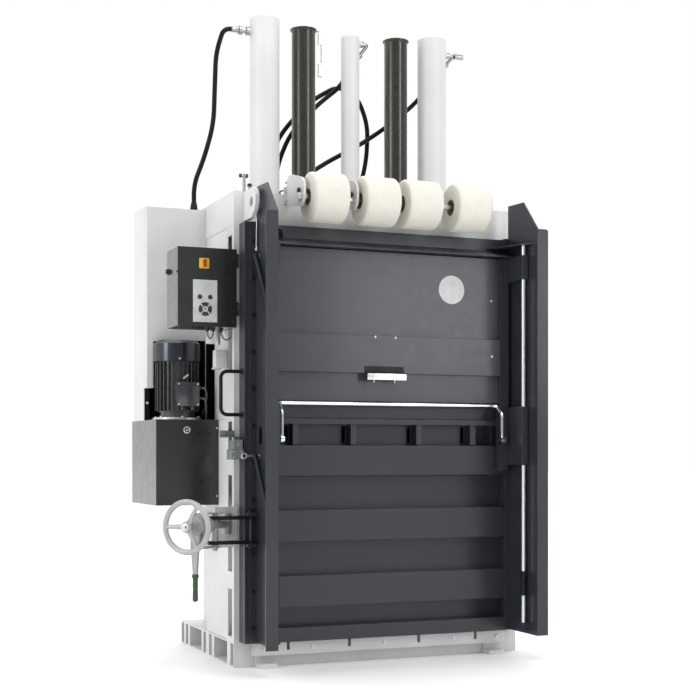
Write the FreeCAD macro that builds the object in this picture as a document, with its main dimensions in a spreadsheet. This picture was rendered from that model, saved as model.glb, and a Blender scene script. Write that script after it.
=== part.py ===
import FreeCAD, Part
import math
import os

import Sketcher
from FreeCAD import Placement, Rotation, Vector

# Vertical recycling baler, millimetres.
# X runs to the right seen from the front, +Y to the back, +Z up.
# The origin lies on the floor under the middle of the base.

DRIVING_SIZES = [
    # base
    ("side_reach", 88), ("base_depth", 870), ("base_height", 112), ("base_plate", 8),
    ("fork_width", 201), ("fork_rear_in", 259), ("fork_front_in", 202), ("cell_width", 44),
    ("sill_out", 21), ("sill_reach", 45), ("sill_height", 55), ("sill_drop", 4),
    ("lug_width", 80), ("lug_reach", 75), ("lug_plate", 20), ("lug_in", 37), ("anchor_radius", 11),
    # chamber and head
    ("chamber_width", 1200), ("chamber_depth", 765), ("wall", 12), ("frame_high", 1940),
    ("head_height", 150), ("head_plate", 15),
    ("column_flange", 29), ("column_depth", 113), ("strap_inner", 162), ("strap_edge", 163),
    ("strap_slot", 18), ("channel_width", 60), ("channel_depth", 34),
    # press cylinders, guide columns and platen
    ("press_y", 70), ("cylinder_in", 165), ("cylinder_radius", 70), ("cylinder_bore", 55),
    ("cylinder_length", 891), ("ram_radius", 35), ("small_radius", 44), ("small_bore", 33),
    ("small_length", 856), ("small_ram", 22), ("port_low", 66), ("port_reach", 6), ("small_port", 28), ("guide_offset", 240), ("guide_radius", 56),
    ("guide_wall", 10), ("guide_length", 865), ("cap_radius", 64), ("cap_height", 15),
    ("platen_drop", 110), ("platen_height", 95), ("platen_gap", 10), ("platen_plate", 32),
    ("rib", 14), ("slide_gap", 0.3),
    # main door
    ("door_gap", 2), ("door_depth", 78), ("post_width", 76), ("door_clear", 2), ("door_rise", 5),
    ("skin", 10), ("sheet", 6), ("band_depth", 58), ("rail_low", 1070), ("rail_high", 1160),
    ("beam_drop", 7), ("beam_deep", 92), ("lip_reach", 36),
    ("wing_gap", 17), ("wing_reach", 272), ("wing_low", 118), ("wing_front_rise", 6),
    ("wing_rise", 152), ("wing_shoulder", 142), ("flange_width", 55),
    ("hinge_out", 12), ("hinge_drop", 41), ("hinge_pin", 12), ("hinge_shell", 18), ("run_gap", 0.05),
    ("knuckle", 60),
    # loading flap
    ("flap_low", 1172), ("flap_clear", 4), ("flap_in", 51), ("flap_reach", 30),
    ("flap_band_low", 1298), ("flap_band_high", 1467), ("flap_band_reach", 22),
    ("stile_width", 49), ("stile_depth", 36), ("stile_low", 860), ("rod_in", 3),
    ("rod_reach", 260), ("rod_radius", 10), ("carriage_gap", 0.1),
    ("bail_low", 1002), ("bail_high", 1160), ("bail_reach", 168), ("bail_in", 12), ("bail_radius", 9),
    # strapping reels
    ("reel_offset_inner", 102), ("reel_offset_outer", 344), ("reel_radius", 108), ("reel_length", 160),
    ("reel_core", 36), ("reel_reach", 185), ("reel_drop", 40), ("spindle_radius", 12),
    # hydraulic unit, cabinet and control box
    ("unit_reach", 290), ("unit_low", 707), ("unit_high", 1092), ("unit_front", 205), ("unit_back", 255),
    ("cabinet_depth", 208), ("cabinet_drop", 15), ("niche_high", 1465), ("cover_sheet", 4),
    ("motor_out", 150), ("motor_y", 40), ("motor_radius", 86), ("motor_high", 1455), ("cowl_radius", 107),
    ("cowl_height", 95), ("fin_count", 28), ("fin_height", 15), ("foot_radius", 112), ("foot_height", 38),
    ("box_width", 265), ("box_low", 1487), ("box_high", 1826), ("box_reach", 33), ("box_depth", 168),
    ("lid_depth", 12),
    # door lock
    ("lock_pin_in", 21), ("lock_pin_reach", 100), ("lock_arm_high", 663), ("lock_arm_low", 557),
    ("lock_axis_z", 635), ("nose_out", 45), ("nose_reach", 35), ("lock_turn", 42),
    ("wheel_radius", 106), ("wheel_rim", 10), ("wheel_reach", 318), ("lever_reach", 252),
    ("post_reach", 95), ("drum_radius", 35), ("tube_radius", 27), ("lock_spindle", 12),
    ("keeper_out", 23), ("keeper_reach", 105), ("keeper_drop", 63), ("keeper_plate", 18),
]

doc = FreeCAD.newDocument("recycling_baler")
sheet = doc.addObject("Spreadsheet::Sheet", "Sizes")
NODES = []


class Size:
    """A number that carries its value and the sheet formula it comes from."""

    def __init__(self, value, text):
        self.value = value
        self.text = text

    def _join(self, sign, other, result):
        return Size(result, f"({self.text} {sign} {other.text})")

    def __add__(self, other):
        other = size(other)
        return self._join("+", other, self.value + other.value)

    def __sub__(self, other):
        other = size(other)
        return self._join("-", other, self.value - other.value)

    def __mul__(self, other):
        other = size(other)
        return self._join("*", other, self.value * other.value)

    def __truediv__(self, other):
        other = size(other)
        return self._join("/", other, self.value / other.value)

    def __radd__(self, other):
        return size(other) + self

    def __rsub__(self, other):
        return size(other) - self

    def __rmul__(self, other):
        return size(other) * self

    def __neg__(self):
        return Size(-self.value, f"(-1 * {self.text})")


def size(number):
    """Give a plain number the same form as a sheet size."""
    if isinstance(number, Size):
        return number
    return Size(float(number), f"({number})")


def cosine(angle):
    return Size(math.cos(math.radians(angle.value)), f"cos({angle.text})")


def sine(angle):
    return Size(math.sin(math.radians(angle.value)), f"sin({angle.text})")


class Sizes:
    """The driving sizes, one attribute for each cell of the sheet, and the places worked out from them."""

    def __init__(self, rows):
        for row, (alias, number) in enumerate(rows, start=1):
            sheet.set(f"A{row}", alias)
            sheet.set(f"B{row}", str(number))
            sheet.setAlias(f"B{row}", alias)
            setattr(self, alias, Size(float(number), f"Sizes.{alias}"))


d = Sizes(DRIVING_SIZES)

# places worked out from the sizes that they follow
chamber_half = d.chamber_width / 2
depth_half = d.base_depth / 2
deck_high = d.frame_high + d.head_height
d.base_width = (chamber_half + d.wall + d.side_reach) * 2
d.sill_width = (chamber_half + d.sill_out) * 2
d.lug_offset = chamber_half - d.lug_in
d.strap_outer = chamber_half - d.strap_edge
d.cylinder_offset = chamber_half - d.cylinder_in
d.door_width = (chamber_half + d.post_width) * 2
d.wing_inner = chamber_half + d.wing_gap
d.guide_rod_x = chamber_half - d.rod_in
d.flap_half = chamber_half - d.flap_in
d.bail_half = d.flap_half - d.bail_in
d.unit_left = d.base_width / 2 + d.unit_reach
d.motor_x = d.base_width / 2 + d.motor_out
d.lock_pin_x = d.door_width / 2 - d.lock_pin_in
d.lock_nose_x = d.base_width / 2 + d.nose_out
d.keeper_x = d.wing_inner + d.sheet + d.keeper_out
d.fork_rear_mid = depth_half - d.fork_rear_in
d.fork_front_mid = depth_half - d.fork_front_in
d.hinge_y = depth_half + d.hinge_drop
d.guide_rod_y = depth_half + d.rod_reach
d.bail_y = depth_half + d.bail_reach
d.reel_y = depth_half + d.reel_reach
d.box_front = depth_half + d.box_reach
d.box_back = d.box_front - d.box_depth
d.lock_pin_y = depth_half + d.lock_pin_reach
d.lock_nose_y = depth_half + d.nose_reach
d.keeper_y = depth_half + d.keeper_reach
d.cylinder_high = deck_high + d.cylinder_length
d.small_high = deck_high + d.small_length
d.guide_high = deck_high + d.guide_length
d.platen_low = d.frame_high - d.platen_drop
d.door_high = d.frame_high + d.door_rise
d.beam_high = d.door_high - d.beam_drop
d.beam_low = d.beam_high - d.beam_deep
d.wing_high = d.door_high + d.wing_rise
d.wing_front_high = d.door_high + d.wing_front_rise
d.flap_high = d.beam_low - d.flap_clear
d.reel_z = deck_high - d.reel_drop
d.cabinet_high = deck_high - d.cabinet_drop
d.keeper_z = deck_high - d.keeper_drop
doc.recompute()


# ---------------------------------------------------------------- helpers

VIEWS = {"front": ("XZ_Plane", -1), "side": ("YZ_Plane", 1), "top": ("XY_Plane", 1)}
TURNS = {"x": Rotation(Vector(0, 1, 0), 90), "y": Rotation(Vector(1, 0, 0), -90), "z": Rotation()}


def bind(item, prop, value):
    """Tie one property to the sheet."""
    item.setExpression(prop, size(value).text)


def place(item, x=0, y=0, z=0, turn=None):
    """Tie an object's place to the sheet and give it a fixed turn."""
    if turn is not None:
        item.Placement = Placement(Vector(), turn)
    for axis, value in zip("xyz", (x, y, z)):
        bind(item, f".Placement.Base.{axis}", value)
    return item


def node(item, label):
    """Name an object as a finished piece."""
    item.Label = label
    NODES.append(item)
    return item


def new_body(label):
    return node(doc.addObject("PartDesign::Body", label), label)


def box_loop(left, right, low, high):
    return [(left, low), (right, low), (right, high), (left, high)]


def sketch_on(body, view, start, loops, circles):
    """Sketch closed outlines and circles, every corner tied to the sheet."""
    role, sense = VIEWS[view]
    plane = next(item for item in body.Origin.OriginFeatures if item.Role == role)
    sketch = body.newObject("Sketcher::SketchObject", f"{body.Name}_outline")
    sketch.AttachmentSupport = [(plane, "")]
    sketch.MapMode = "FlatFace"
    bind(sketch, "AttachmentOffset.Base.z", sense * size(start))
    for corners in loops:
        corners = [(size(x), size(y)) for x, y in corners]
        first = sketch.GeometryCount
        count = len(corners)
        for index, (x, y) in enumerate(corners):
            end_x, end_y = corners[(index + 1) % count]
            line = Part.LineSegment(Vector(x.value, y.value, 0), Vector(end_x.value, end_y.value, 0))
            sketch.addGeometry(line, False)
        for index in range(count):
            previous = first + (index - 1) % count
            sketch.addConstraint(Sketcher.Constraint("Coincident", previous, 2, first + index, 1))
        for index, (x, y) in enumerate(corners):
            tie_point(sketch, first + index, 1, x, y)
    for x, y, radius in circles:
        x, y, radius = size(x), size(y), size(radius)
        centre = Vector(x.value, y.value, 0)
        ring = sketch.addGeometry(Part.Circle(centre, Vector(0, 0, 1), radius.value), False)
        tie_point(sketch, ring, 3, x, y)
        number = sketch.addConstraint(Sketcher.Constraint("Radius", ring, radius.value))
        bind(sketch, f"Constraints[{number}]", radius)
    return sketch


def tie_point(sketch, geometry, end, x, y):
    for kind, value in (("DistanceX", x), ("DistanceY", y)):
        number = sketch.addConstraint(Sketcher.Constraint(kind, geometry, end, value.value))
        bind(sketch, f"Constraints[{number}]", value)


def pad(body, view, start, length, loops=(), circles=()):
    """Raise outlines from a start plane towards the axis's positive end."""
    feature = body.newObject("PartDesign::Pad", f"{body.Name}_pad")
    feature.Profile = sketch_on(body, view, start, loops, circles)
    feature.Reversed = VIEWS[view][1] < 0
    bind(feature, "Length", length)
    return feature


def pocket(body, view, start, length, loops=(), circles=()):
    """Cut outlines from a start plane towards the axis's positive end."""
    feature = body.newObject("PartDesign::Pocket", f"{body.Name}_pocket")
    feature.Profile = sketch_on(body, view, start, loops, circles)
    feature.Reversed = VIEWS[view][1] > 0
    bind(feature, "Length", length)
    return feature


def turned(body, corners):
    """Turn an outline of (radius, height) corners about the body's own Z."""
    sketch = sketch_on(body, "front", 0, [corners], ())
    feature = body.newObject("PartDesign::Revolution", f"{body.Name}_turn")
    feature.Profile = sketch
    feature.ReferenceAxis = (sketch, ["V_Axis"])
    feature.Angle = 360
    return feature


def rod(name, axis, x, y, z, radius, length):
    """A cylinder that starts at (x, y, z) and runs along +axis."""
    item = doc.addObject("Part::Cylinder", name)
    bind(item, "Radius", radius)
    bind(item, "Height", length)
    return place(item, x, y, z, TURNS[axis])


def fused(name, parts):
    item = doc.addObject("Part::MultiFuse", name)
    item.Shapes = list(parts)
    return item


def cut(name, base, tools):
    item = doc.addObject("Part::Cut", name)
    item.Base = base
    item.Tool = tools[0] if len(tools) == 1 else fused(f"{name}_tools", tools)
    return item


def smooth_path(points, bend=None):
    """Join points by straight runs and tangent arcs, as a bent tube has."""
    edges = []
    start = points[0]
    for before, corner, after in zip(points, points[1:], points[2:]):
        way_in = (corner - before).normalize()
        way_out = (after - corner).normalize()
        half_turn = way_in.getAngle(way_out) / 2
        shorter = min(before.distanceToPoint(corner), corner.distanceToPoint(after))
        radius = bend if bend else 0.45 * shorter / math.tan(half_turn)
        reach = radius * math.tan(half_turn)
        arc_start = corner - way_in * reach
        arc_end = corner + way_out * reach
        inward = (way_out - way_in).normalize()
        centre = corner + inward * (radius / math.cos(half_turn))
        middle = centre - inward * radius
        edges.append(Part.LineSegment(start, arc_start).toShape())
        edges.append(Part.Arc(arc_start, middle, arc_end).toShape())
        start = arc_end
    edges.append(Part.LineSegment(start, points[-1]).toShape())
    return Part.Wire(edges)


def swept_tube(points, radius, bend=None):
    path = smooth_path(points, bend)
    way = (points[1] - points[0]).normalize()
    section = Part.Wire(Part.Circle(points[0], way, radius).toShape())
    solid = path.makePipeShell([section], True, False)
    ideal = math.pi * radius ** 2 * path.Length
    if abs(solid.Volume / ideal - 1) > 0.01:
        raise RuntimeError("a swept tube lost volume")
    return solid


def shaped(label, shape):
    item = doc.addObject("Part::Feature", label)
    item.Shape = shape
    item.Placement = Placement()
    return node(item, label)


def spot(x, y, z):
    return Vector(size(x).value, size(y).value, size(z).value)


# ---------------------------------------------------------------- shared planes

base_half = d.base_width / 2
front = -d.base_depth / 2
inner = d.chamber_width / 2
wall_out = inner + d.wall
rear_in = front + d.chamber_depth
rear_out = rear_in + d.wall
head_top = d.frame_high + d.head_height
head_depth = rear_out - front
press_y = -d.press_y
door_back = front - d.door_gap
door_front = door_back - d.door_depth
door_half = d.door_width / 2
door_low = d.base_height + d.door_clear
wing_outer = d.wing_inner + d.sheet
wing_front = door_front - d.wing_reach
hinge_x = base_half + d.hinge_out
hinge_y = -d.hinge_y
cam_line = -d.guide_offset + 79
STRAP_LINES = (-d.strap_outer, -d.strap_inner, d.strap_inner, d.strap_outer)
SIDES = (("left", -1), ("right", 1))


def span(side, near, far):
    """Order two distances from the middle into left and right on one side."""
    if side < 0:
        return -far, -near
    return near, far


# ---------------------------------------------------------------- frame

def build_base():
    """Welded base: cross tubes open at both sides, two of them fork pockets."""
    body = new_body("base_frame")
    half_fork = d.fork_width / 2
    cell = d.cell_width
    edge = d.base_plate
    rear = d.base_depth / 2
    gap_low = -d.fork_front_mid + half_fork
    gap_high = d.fork_rear_mid - half_fork
    spare = gap_high - gap_low - cell * 2
    cells = [
        (rear - edge - cell, rear - edge),
        (rear - edge - cell * 2 - 32, rear - edge - cell - 32),
        (d.fork_rear_mid - half_fork, d.fork_rear_mid + half_fork),
        (gap_high - spare * 63 / 240 - cell, gap_high - spare * 63 / 240),
        (gap_low + spare * 77 / 240, gap_low + spare * 77 / 240 + cell),
        (-d.fork_front_mid - half_fork, -d.fork_front_mid + half_fork),
        (front + edge, front + edge + cell),
    ]
    floor = d.base_plate
    roof = d.base_height - d.base_plate
    loops = [box_loop(front, rear, size(0), d.base_height)]
    loops += [box_loop(low, high, floor, roof) for low, high in cells]
    pad(body, "side", -base_half, d.base_width, loops)


def build_sill():
    """Front sill with open strap slots, bolts and two floor lugs."""
    body = new_body("front_sill")
    half = d.sill_width / 2
    low = d.base_height - d.sill_drop - d.sill_height
    high = d.base_height - d.sill_drop
    slot_low = high - 34
    outline = [(-half, low), (half, low), (half, high)]
    for line in reversed(STRAP_LINES):
        middle = line * 1.06
        right_edge = middle + 7
        left_edge = middle - 7
        outline += [(right_edge, high), (right_edge, slot_low), (left_edge, slot_low), (left_edge, high)]
    outline.append((-half, high))
    end_bolt = half - 46
    slot_bolt = d.strap_outer - 88
    holes = [(x, low + 30, 7) for x in (-end_bolt, -slot_bolt, size(0), slot_bolt, end_bolt)]
    pad(body, "front", front - d.sill_reach, d.sill_reach, [outline], holes)
    for side in (-1, 1):
        left = side * d.lug_offset - d.lug_width / 2
        right = left + d.lug_width
        pad(body, "front", front - 12, 12, [box_loop(left, right, size(0), low + 5)])
        reach = front - d.lug_reach
        pad(body, "top", 0, d.lug_plate, [box_loop(left, right, reach, front)],
            [(side * d.lug_offset, reach + 34, d.anchor_radius)])


def build_walls():
    """Side walls with their service rails, and the rear wall with strap channels."""
    height = d.frame_high - d.base_height
    for name, side in SIDES:
        body = new_body(f"side_wall_{name}")
        near, far = span(side, inner, wall_out)
        pad(body, "top", d.base_height, height, [box_loop(near, far, front, rear_in)])
        if side < 0:
            rails = [(d.unit_low + 20, d.unit_low + 80), (d.unit_high - 90, d.unit_high - 30),
                     (d.cabinet_high - 260, d.cabinet_high - 200)]
            loops = [box_loop(size(20), d.cabinet_depth - 20, low, high) for low, high in rails]
            pad(body, "side", -base_half, base_half - wall_out, loops)
    body = new_body("rear_wall")
    half_slot = d.strap_slot / 2
    half_channel = d.channel_width / 2
    groove = rear_in + d.channel_depth - d.wall
    outer = rear_in + d.channel_depth
    outline = [(-wall_out, rear_in)]
    for line in STRAP_LINES:
        outline += [(line - half_slot, rear_in), (line - half_slot, groove),
                    (line + half_slot, groove), (line + half_slot, rear_in)]
    outline += [(wall_out, rear_in), (wall_out, rear_out)]
    for line in reversed(STRAP_LINES):
        outline += [(line + half_channel, rear_out), (line + half_channel - 8, outer),
                    (line - half_channel + 8, outer), (line - half_channel, rear_out)]
    outline.append((-wall_out, rear_out))
    pad(body, "top", d.base_height, height, [outline])


def build_columns():
    """Front columns: a deep flange with welded gussets behind it."""
    flange_back = front + d.column_flange
    gusset_back = front + d.column_depth
    height = d.frame_high - d.base_height
    gussets = [(d.base_height, d.base_height + 20), (342, 419), (545, 690), (844, 930),
               (1080, 1305), (d.box_low + 20, d.box_high - 20), (d.frame_high - 40, d.frame_high)]
    for name, side in SIDES:
        body = new_body(f"front_column_{name}")
        near, far = span(side, wall_out, base_half)
        pad(body, "top", d.base_height, height, [box_loop(near, far, front, flange_back)])
        loops = [box_loop(flange_back, gusset_back, low, high) for low, high in gussets]
        pad(body, "side", near, base_half - wall_out, loops)
        if side < 0:
            nose_back = -d.lock_nose_y + 22.5
            left = -base_half - 92
            step = -d.lock_nose_x + 24
            right = -base_half + 12
            mid = d.lock_axis_z
            pad(body, "front", nose_back, 16,
                [[(left, mid - 105), (right, mid - 105), (right, mid + 72), (left, mid + 72),
                  (left, mid + 21), (step, mid + 21), (step, mid - 21), (left, mid - 21)]])
            pad(body, "top", mid - 105, 177,
                [box_loop(-base_half - 14, -base_half + 6, nose_back + 10, front + 20)])
        else:
            for low in HINGE_LOWS:
                for start in (low - 30.5, low + d.knuckle + 0.5):
                    pad(body, "top", start, 30,
                        [box_loop(base_half - 6, hinge_x + 8, hinge_y, front + 20)])
                    pad(body, "top", start, 30, circles=[(hinge_x, hinge_y, d.hinge_shell)])
                    pocket(body, "top", start, 30, circles=[(hinge_x, hinge_y, d.hinge_pin)])


HINGE_LOWS = (d.base_height + 188, size(1000), d.frame_high - 290)


def build_hinge_pins():
    pins = []
    for index, low in enumerate(HINGE_LOWS):
        start = low - 30.5
        length = d.knuckle + 61
        pins.append(rod(f"hinge_pin_{index}", "z", hinge_x, hinge_y, start, d.hinge_pin, length))
        pins.append(rod(f"hinge_head_{index}", "z", hinge_x, hinge_y, start + length, d.hinge_pin + 4, 5))
    node(fused("hinge_pins", pins), "hinge_pins")


def build_head():
    """Press head: an open-bottomed welded box with sleeves for the guide columns."""
    body = new_body("press_head")
    outline = box_loop(-base_half, base_half, front, rear_out)
    pad(body, "top", d.frame_high, d.head_height, [outline])
    cavity = box_loop(-base_half + d.wall, base_half - d.wall, front + d.wall, rear_out - d.wall)
    pocket(body, "top", d.frame_high, d.head_height - d.head_plate, [cavity])
    sleeve = [(side * d.guide_offset, press_y, d.guide_radius + 16) for side in (-1, 1)]
    beams = [box_loop(-base_half + 6, base_half - 6, press_y - 120, press_y - 100),
             box_loop(-base_half + 6, base_half - 6, press_y + 100, press_y + 120)]
    pad(body, "top", d.frame_high + 20, d.head_height - 25, beams)
    pad(body, "top", d.frame_high + 20, d.head_height - 25, circles=sleeve)
    bores = [(side * d.guide_offset, press_y, d.guide_radius + d.slide_gap) for side in (-1, 1)]
    bores += [(side * d.cylinder_offset, press_y, d.ram_radius + 2) for side in (-1, 1)]
    bores += [(size(0), press_y, d.small_ram + 2)]
    cam_left = cam_line - 8
    slot = box_loop(cam_left, cam_line + 22, press_y - 14, press_y + 14)
    pocket(body, "top", d.frame_high, d.head_height + 5, [slot], bores)
    near = -d.keeper_x - d.keeper_plate / 2
    low = d.keeper_z - 69
    nose = -d.keeper_y - 58
    keeper = [(front + 5, low), (-d.keeper_y + 5, low), (nose + 18, low + 26), (nose, low + 54),
              (nose, low + 92), (nose + 14, low + 116), (nose + 40, low + 129), (front + 5, low + 129)]
    pad(body, "side", near, d.keeper_plate, [keeper], [(-d.keeper_y, d.keeper_z, 22)])


def build_cylinders():
    """Three hydraulic barrels, each closed at the top and open below for its ram."""
    specs = [("cylinder_left", -d.cylinder_offset, d.cylinder_radius, d.cylinder_bore,
              d.cylinder_high, d.ram_radius, -d.port_low),
             ("cylinder_centre", size(0), d.small_radius, d.small_bore, d.small_high, d.small_ram,
              d.port_low),
             ("cylinder_right", d.cylinder_offset, d.cylinder_radius, d.cylinder_bore,
              d.cylinder_high, d.ram_radius, d.port_low)]
    for label, x, radius, bore, high, ram, port in specs:
        body = new_body(label)
        height = high - head_top
        gland = ram + d.slide_gap
        turned(body, [(gland, size(0)), (radius + 18, size(0)), (radius + 18, size(22)),
                      (radius, size(22)), (radius, height - 5), (radius - 5, height),
                      (size(0), height), (size(0), height - 30), (bore, height - 30),
                      (bore, size(26)), (gland, size(26))])
        boss = 14
        outside = radius + d.port_reach
        start = -outside if port.value < 0 else outside - boss
        level = height - (d.small_port if radius is d.small_radius else d.port_low)
        pad(body, "side", start, boss, circles=[(0, level, size(17))])
        place(body, x, press_y, head_top)


def build_platen():
    """Ribbed pressing plate with strap channels in its underside."""
    body = new_body("press_platen")
    half = inner - d.platen_gap
    low = d.platen_low
    high = low + d.platen_height
    outline = [(-half, low)]
    for line in STRAP_LINES:
        outline += [(line - 12, low), (line - 12, low + 22), (line + 12, low + 22), (line + 12, low)]
    outline += [(half, low), (half, high), (-half, high)]
    depth = d.chamber_depth - d.platen_gap * 2
    pad(body, "front", front + d.platen_gap, depth, [outline])
    web_inner = half * 13 / 59
    web_outer = half * 33 / 59
    stations = [-half, -web_outer, -web_inner, web_inner, web_outer, half]
    cells = []
    for left, right in zip(stations, stations[1:]):
        for near, far in ((front + d.platen_gap, press_y - 90), (press_y + 90, rear_in - d.platen_gap)):
            cells.append(box_loop(left + d.rib, right - d.rib, near + d.rib, far - d.rib))
    pocket(body, "top", low + d.platen_plate, d.platen_height, cells)
    top = high
    for name, side in SIDES:
        column = new_body(f"guide_column_{name}")
        height = d.guide_high - top
        core = d.guide_radius - d.guide_wall
        rim = height - d.cap_height
        turned(column, [(core, size(0)), (d.guide_radius, size(0)), (d.guide_radius, rim),
                        (d.cap_radius, rim + 7), (d.cap_radius, height - 3), (d.cap_radius - 8, height),
                        (size(0), height), (size(0), rim), (core, rim)])
        place(column, side * d.guide_offset, press_y, top)
    rams = []
    for index, (x, radius, bore, barrel_high) in enumerate((
            (-d.cylinder_offset, d.ram_radius, d.cylinder_bore, d.cylinder_high),
            (size(0), d.small_ram, d.small_bore, d.small_high),
            (d.cylinder_offset, d.ram_radius, d.cylinder_bore, d.cylinder_high))):
        stop = barrel_high - 31
        crown = radius * 0.8
        shaft = rod(f"ram_{index}", "z", x, press_y, top, radius, stop - top)
        piston = rod(f"piston_{index}", "z", x, press_y, stop - crown, bore - d.slide_gap, crown)
        rams.append(fused(f"ram_piston_{index}", [shaft, piston]))
    node(fused("piston_rods", rams), "piston_rods")


def build_switch_cam():
    """Bent strip on the left guide column that works the height switches."""
    body = new_body("switch_cam")
    left = -d.guide_offset + 25
    line = cam_line
    thick = 4
    top = d.guide_high + thick
    step = 15
    outline = [(left, top), (line, top), (line, top - 64), (line + step, top - 64),
               (line + step, top - 162), (line, top - 162), (line, top - 216), (line + step, top - 216),
               (line + step, top - 220), (line - thick, top - 220), (line - thick, top - 158),
               (line + step - thick, top - 158), (line + step - thick, top - 68),
               (line - thick, top - 68), (line - thick, top - thick), (left, top - thick)]
    pad(body, "front", press_y - 10, 20, [outline])


# ---------------------------------------------------------------- main door

def build_door():
    """Door frame of box posts, and the corrugated panel between them."""
    body = new_body("door_frame")
    post = door_half - inner
    base_rail = door_low + 60
    outline = [(-door_half, door_low), (door_half, door_low), (door_half, d.door_high),
               (inner, d.door_high), (inner, base_rail), (-inner, base_rail),
               (-inner, d.door_high), (-door_half, d.door_high)]
    pad(body, "front", door_front, d.door_depth, [outline])
    hollows = []
    for side in (-1, 1):
        near, far = span(side, inner + d.sheet, door_half - d.sheet)
        hollows.append(box_loop(near, far, door_front + d.sheet, door_back - d.sheet))
    pocket(body, "top", base_rail, d.door_high - base_rail - d.sheet, hollows)
    for low in HINGE_LOWS:
        pad(body, "top", low, d.knuckle, [box_loop(door_half - 4, hinge_x, hinge_y - 9, hinge_y + 9)])
        pad(body, "top", low, d.knuckle, circles=[(hinge_x, hinge_y, d.hinge_shell)])
        pocket(body, "top", low, d.knuckle, circles=[(hinge_x, hinge_y, d.hinge_pin + d.run_gap)])
    pin_x = -d.lock_pin_x
    pin_y = -d.lock_pin_y
    plate = 12
    for start in (d.lock_arm_high + 8.5, d.lock_arm_low - 8.5 - plate):
        pad(body, "top", start, plate, [box_loop(pin_x - 17, pin_x + 22, pin_y - 14, door_front)])
    pad(body, "top", d.lock_arm_low - 10, d.lock_arm_high - d.lock_arm_low + 20,
        circles=[(pin_x, pin_y, size(8))])

    panel = new_body("door_panel")
    back = door_back
    web = door_back - d.skin
    crest = web - d.band_depth
    thin = d.sheet
    bands = [(260, 405), (547, 694), (837, 980)]
    rail_crest = door_front - 3
    outline = [(back, base_rail), (back, d.rail_high)]
    outline += [(door_front + 15, d.rail_high), (door_front + 15, d.rail_low + 27),
                (rail_crest, d.rail_low + 23), (rail_crest, d.rail_low), (web, d.rail_low)]
    for low, high in reversed(bands):
        outline += [(web, size(high)), (crest, size(high) - 5), (crest, size(low) + 5), (web, size(low))]
    outline.append((web, base_rail))
    hollows = [[(web, size(high) - thin), (crest + thin, size(high) - 5 - thin),
                (crest + thin, size(low) + 5 + thin), (web, size(low) + thin)] for low, high in bands]
    hollows.append([(web, d.rail_high - thin), (door_front + 15 + thin, d.rail_high - thin),
                    (door_front + 15 + thin, d.rail_low + 21), (rail_crest + thin, d.rail_low + 17),
                    (rail_crest + thin, d.rail_low + thin), (web, d.rail_low + thin)])
    pad(panel, "side", -inner, d.chamber_width, [outline] + hollows)
    slot_low = size(bands[-1][1])
    ribs = [box_loop(line - 14, line + 14, slot_low, d.rail_low) for line in STRAP_LINES]
    pad(panel, "front", crest, d.band_depth, ribs)
    slots = [box_loop(line - 18 - d.strap_slot, line - 18, slot_low + 8, d.rail_low - 8)
             for line in STRAP_LINES]
    pocket(panel, "front", web - 5, d.skin + 10, slots)


def build_crossbar():
    """Top beam of the door with a lower lip and two corner gussets."""
    body = new_body("crossbar")
    low = d.beam_low
    high = d.beam_high
    lip = door_front - d.lip_reach
    outline = [(door_back, low), (lip, low), (lip, low + 8), (door_front, low + 14),
               (door_front, high), (door_back, high)]
    hollow = box_loop(door_front + d.sheet, door_back - d.sheet, low + d.sheet, high - d.sheet)
    pad(body, "side", -inner, d.chamber_width, [outline, hollow])
    for side in (-1, 1):
        tip = side * d.wing_inner
        heel = side * (inner - 100)
        near = side * (inner - 30)
        pad(body, "top", high - 51, 6,
            [[(heel, door_front), (tip, door_front), (tip, wing_front + 30), (near, wing_front + 82)]])


def build_wings():
    """Deep side shields on the door, each with a bolted root and a front flange."""
    for name, side in SIDES:
        body = new_body(f"wing_{name}")
        near, far = span(side, d.wing_inner, wing_outer)
        low = d.wing_low
        knee = d.wing_front_high
        shoulder = door_front - d.wing_shoulder
        outline = [(door_front, low), (door_front, d.wing_high), (shoulder, d.wing_high - 5),
                   (wing_front, knee), (wing_front, low)]
        window = box_loop(door_front - 85, door_front - 30, size(979), size(1052))
        pad(body, "side", near, d.sheet, [outline, window])
        root = side * d.wing_inner
        edge = side * (d.wing_inner + d.flange_width)
        flange = [(root, low), (edge, low), (edge, knee - 10), (edge - side * 3, knee - 3),
                  (edge - side * 10, knee), (root, knee)]
        pad(body, "front", wing_front, d.sheet, [flange])
        near, far = span(side, d.wing_inner, d.wing_inner + 38)
        root_low = (low, size(700)) if side < 0 else (low,)
        root_high = (size(520), d.door_high) if side < 0 else (d.door_high,)
        for start, end in zip(root_low, root_high):
            pad(body, "top", start, end - start,
                [box_loop(near, far, door_front - d.sheet, door_front)])
        near, far = span(side, d.guide_rod_x - 15, d.wing_inner)
        pad(body, "top", size(133), 37,
            [box_loop(near, far, -d.guide_rod_y - 16, -d.guide_rod_y + 16)])


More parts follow.
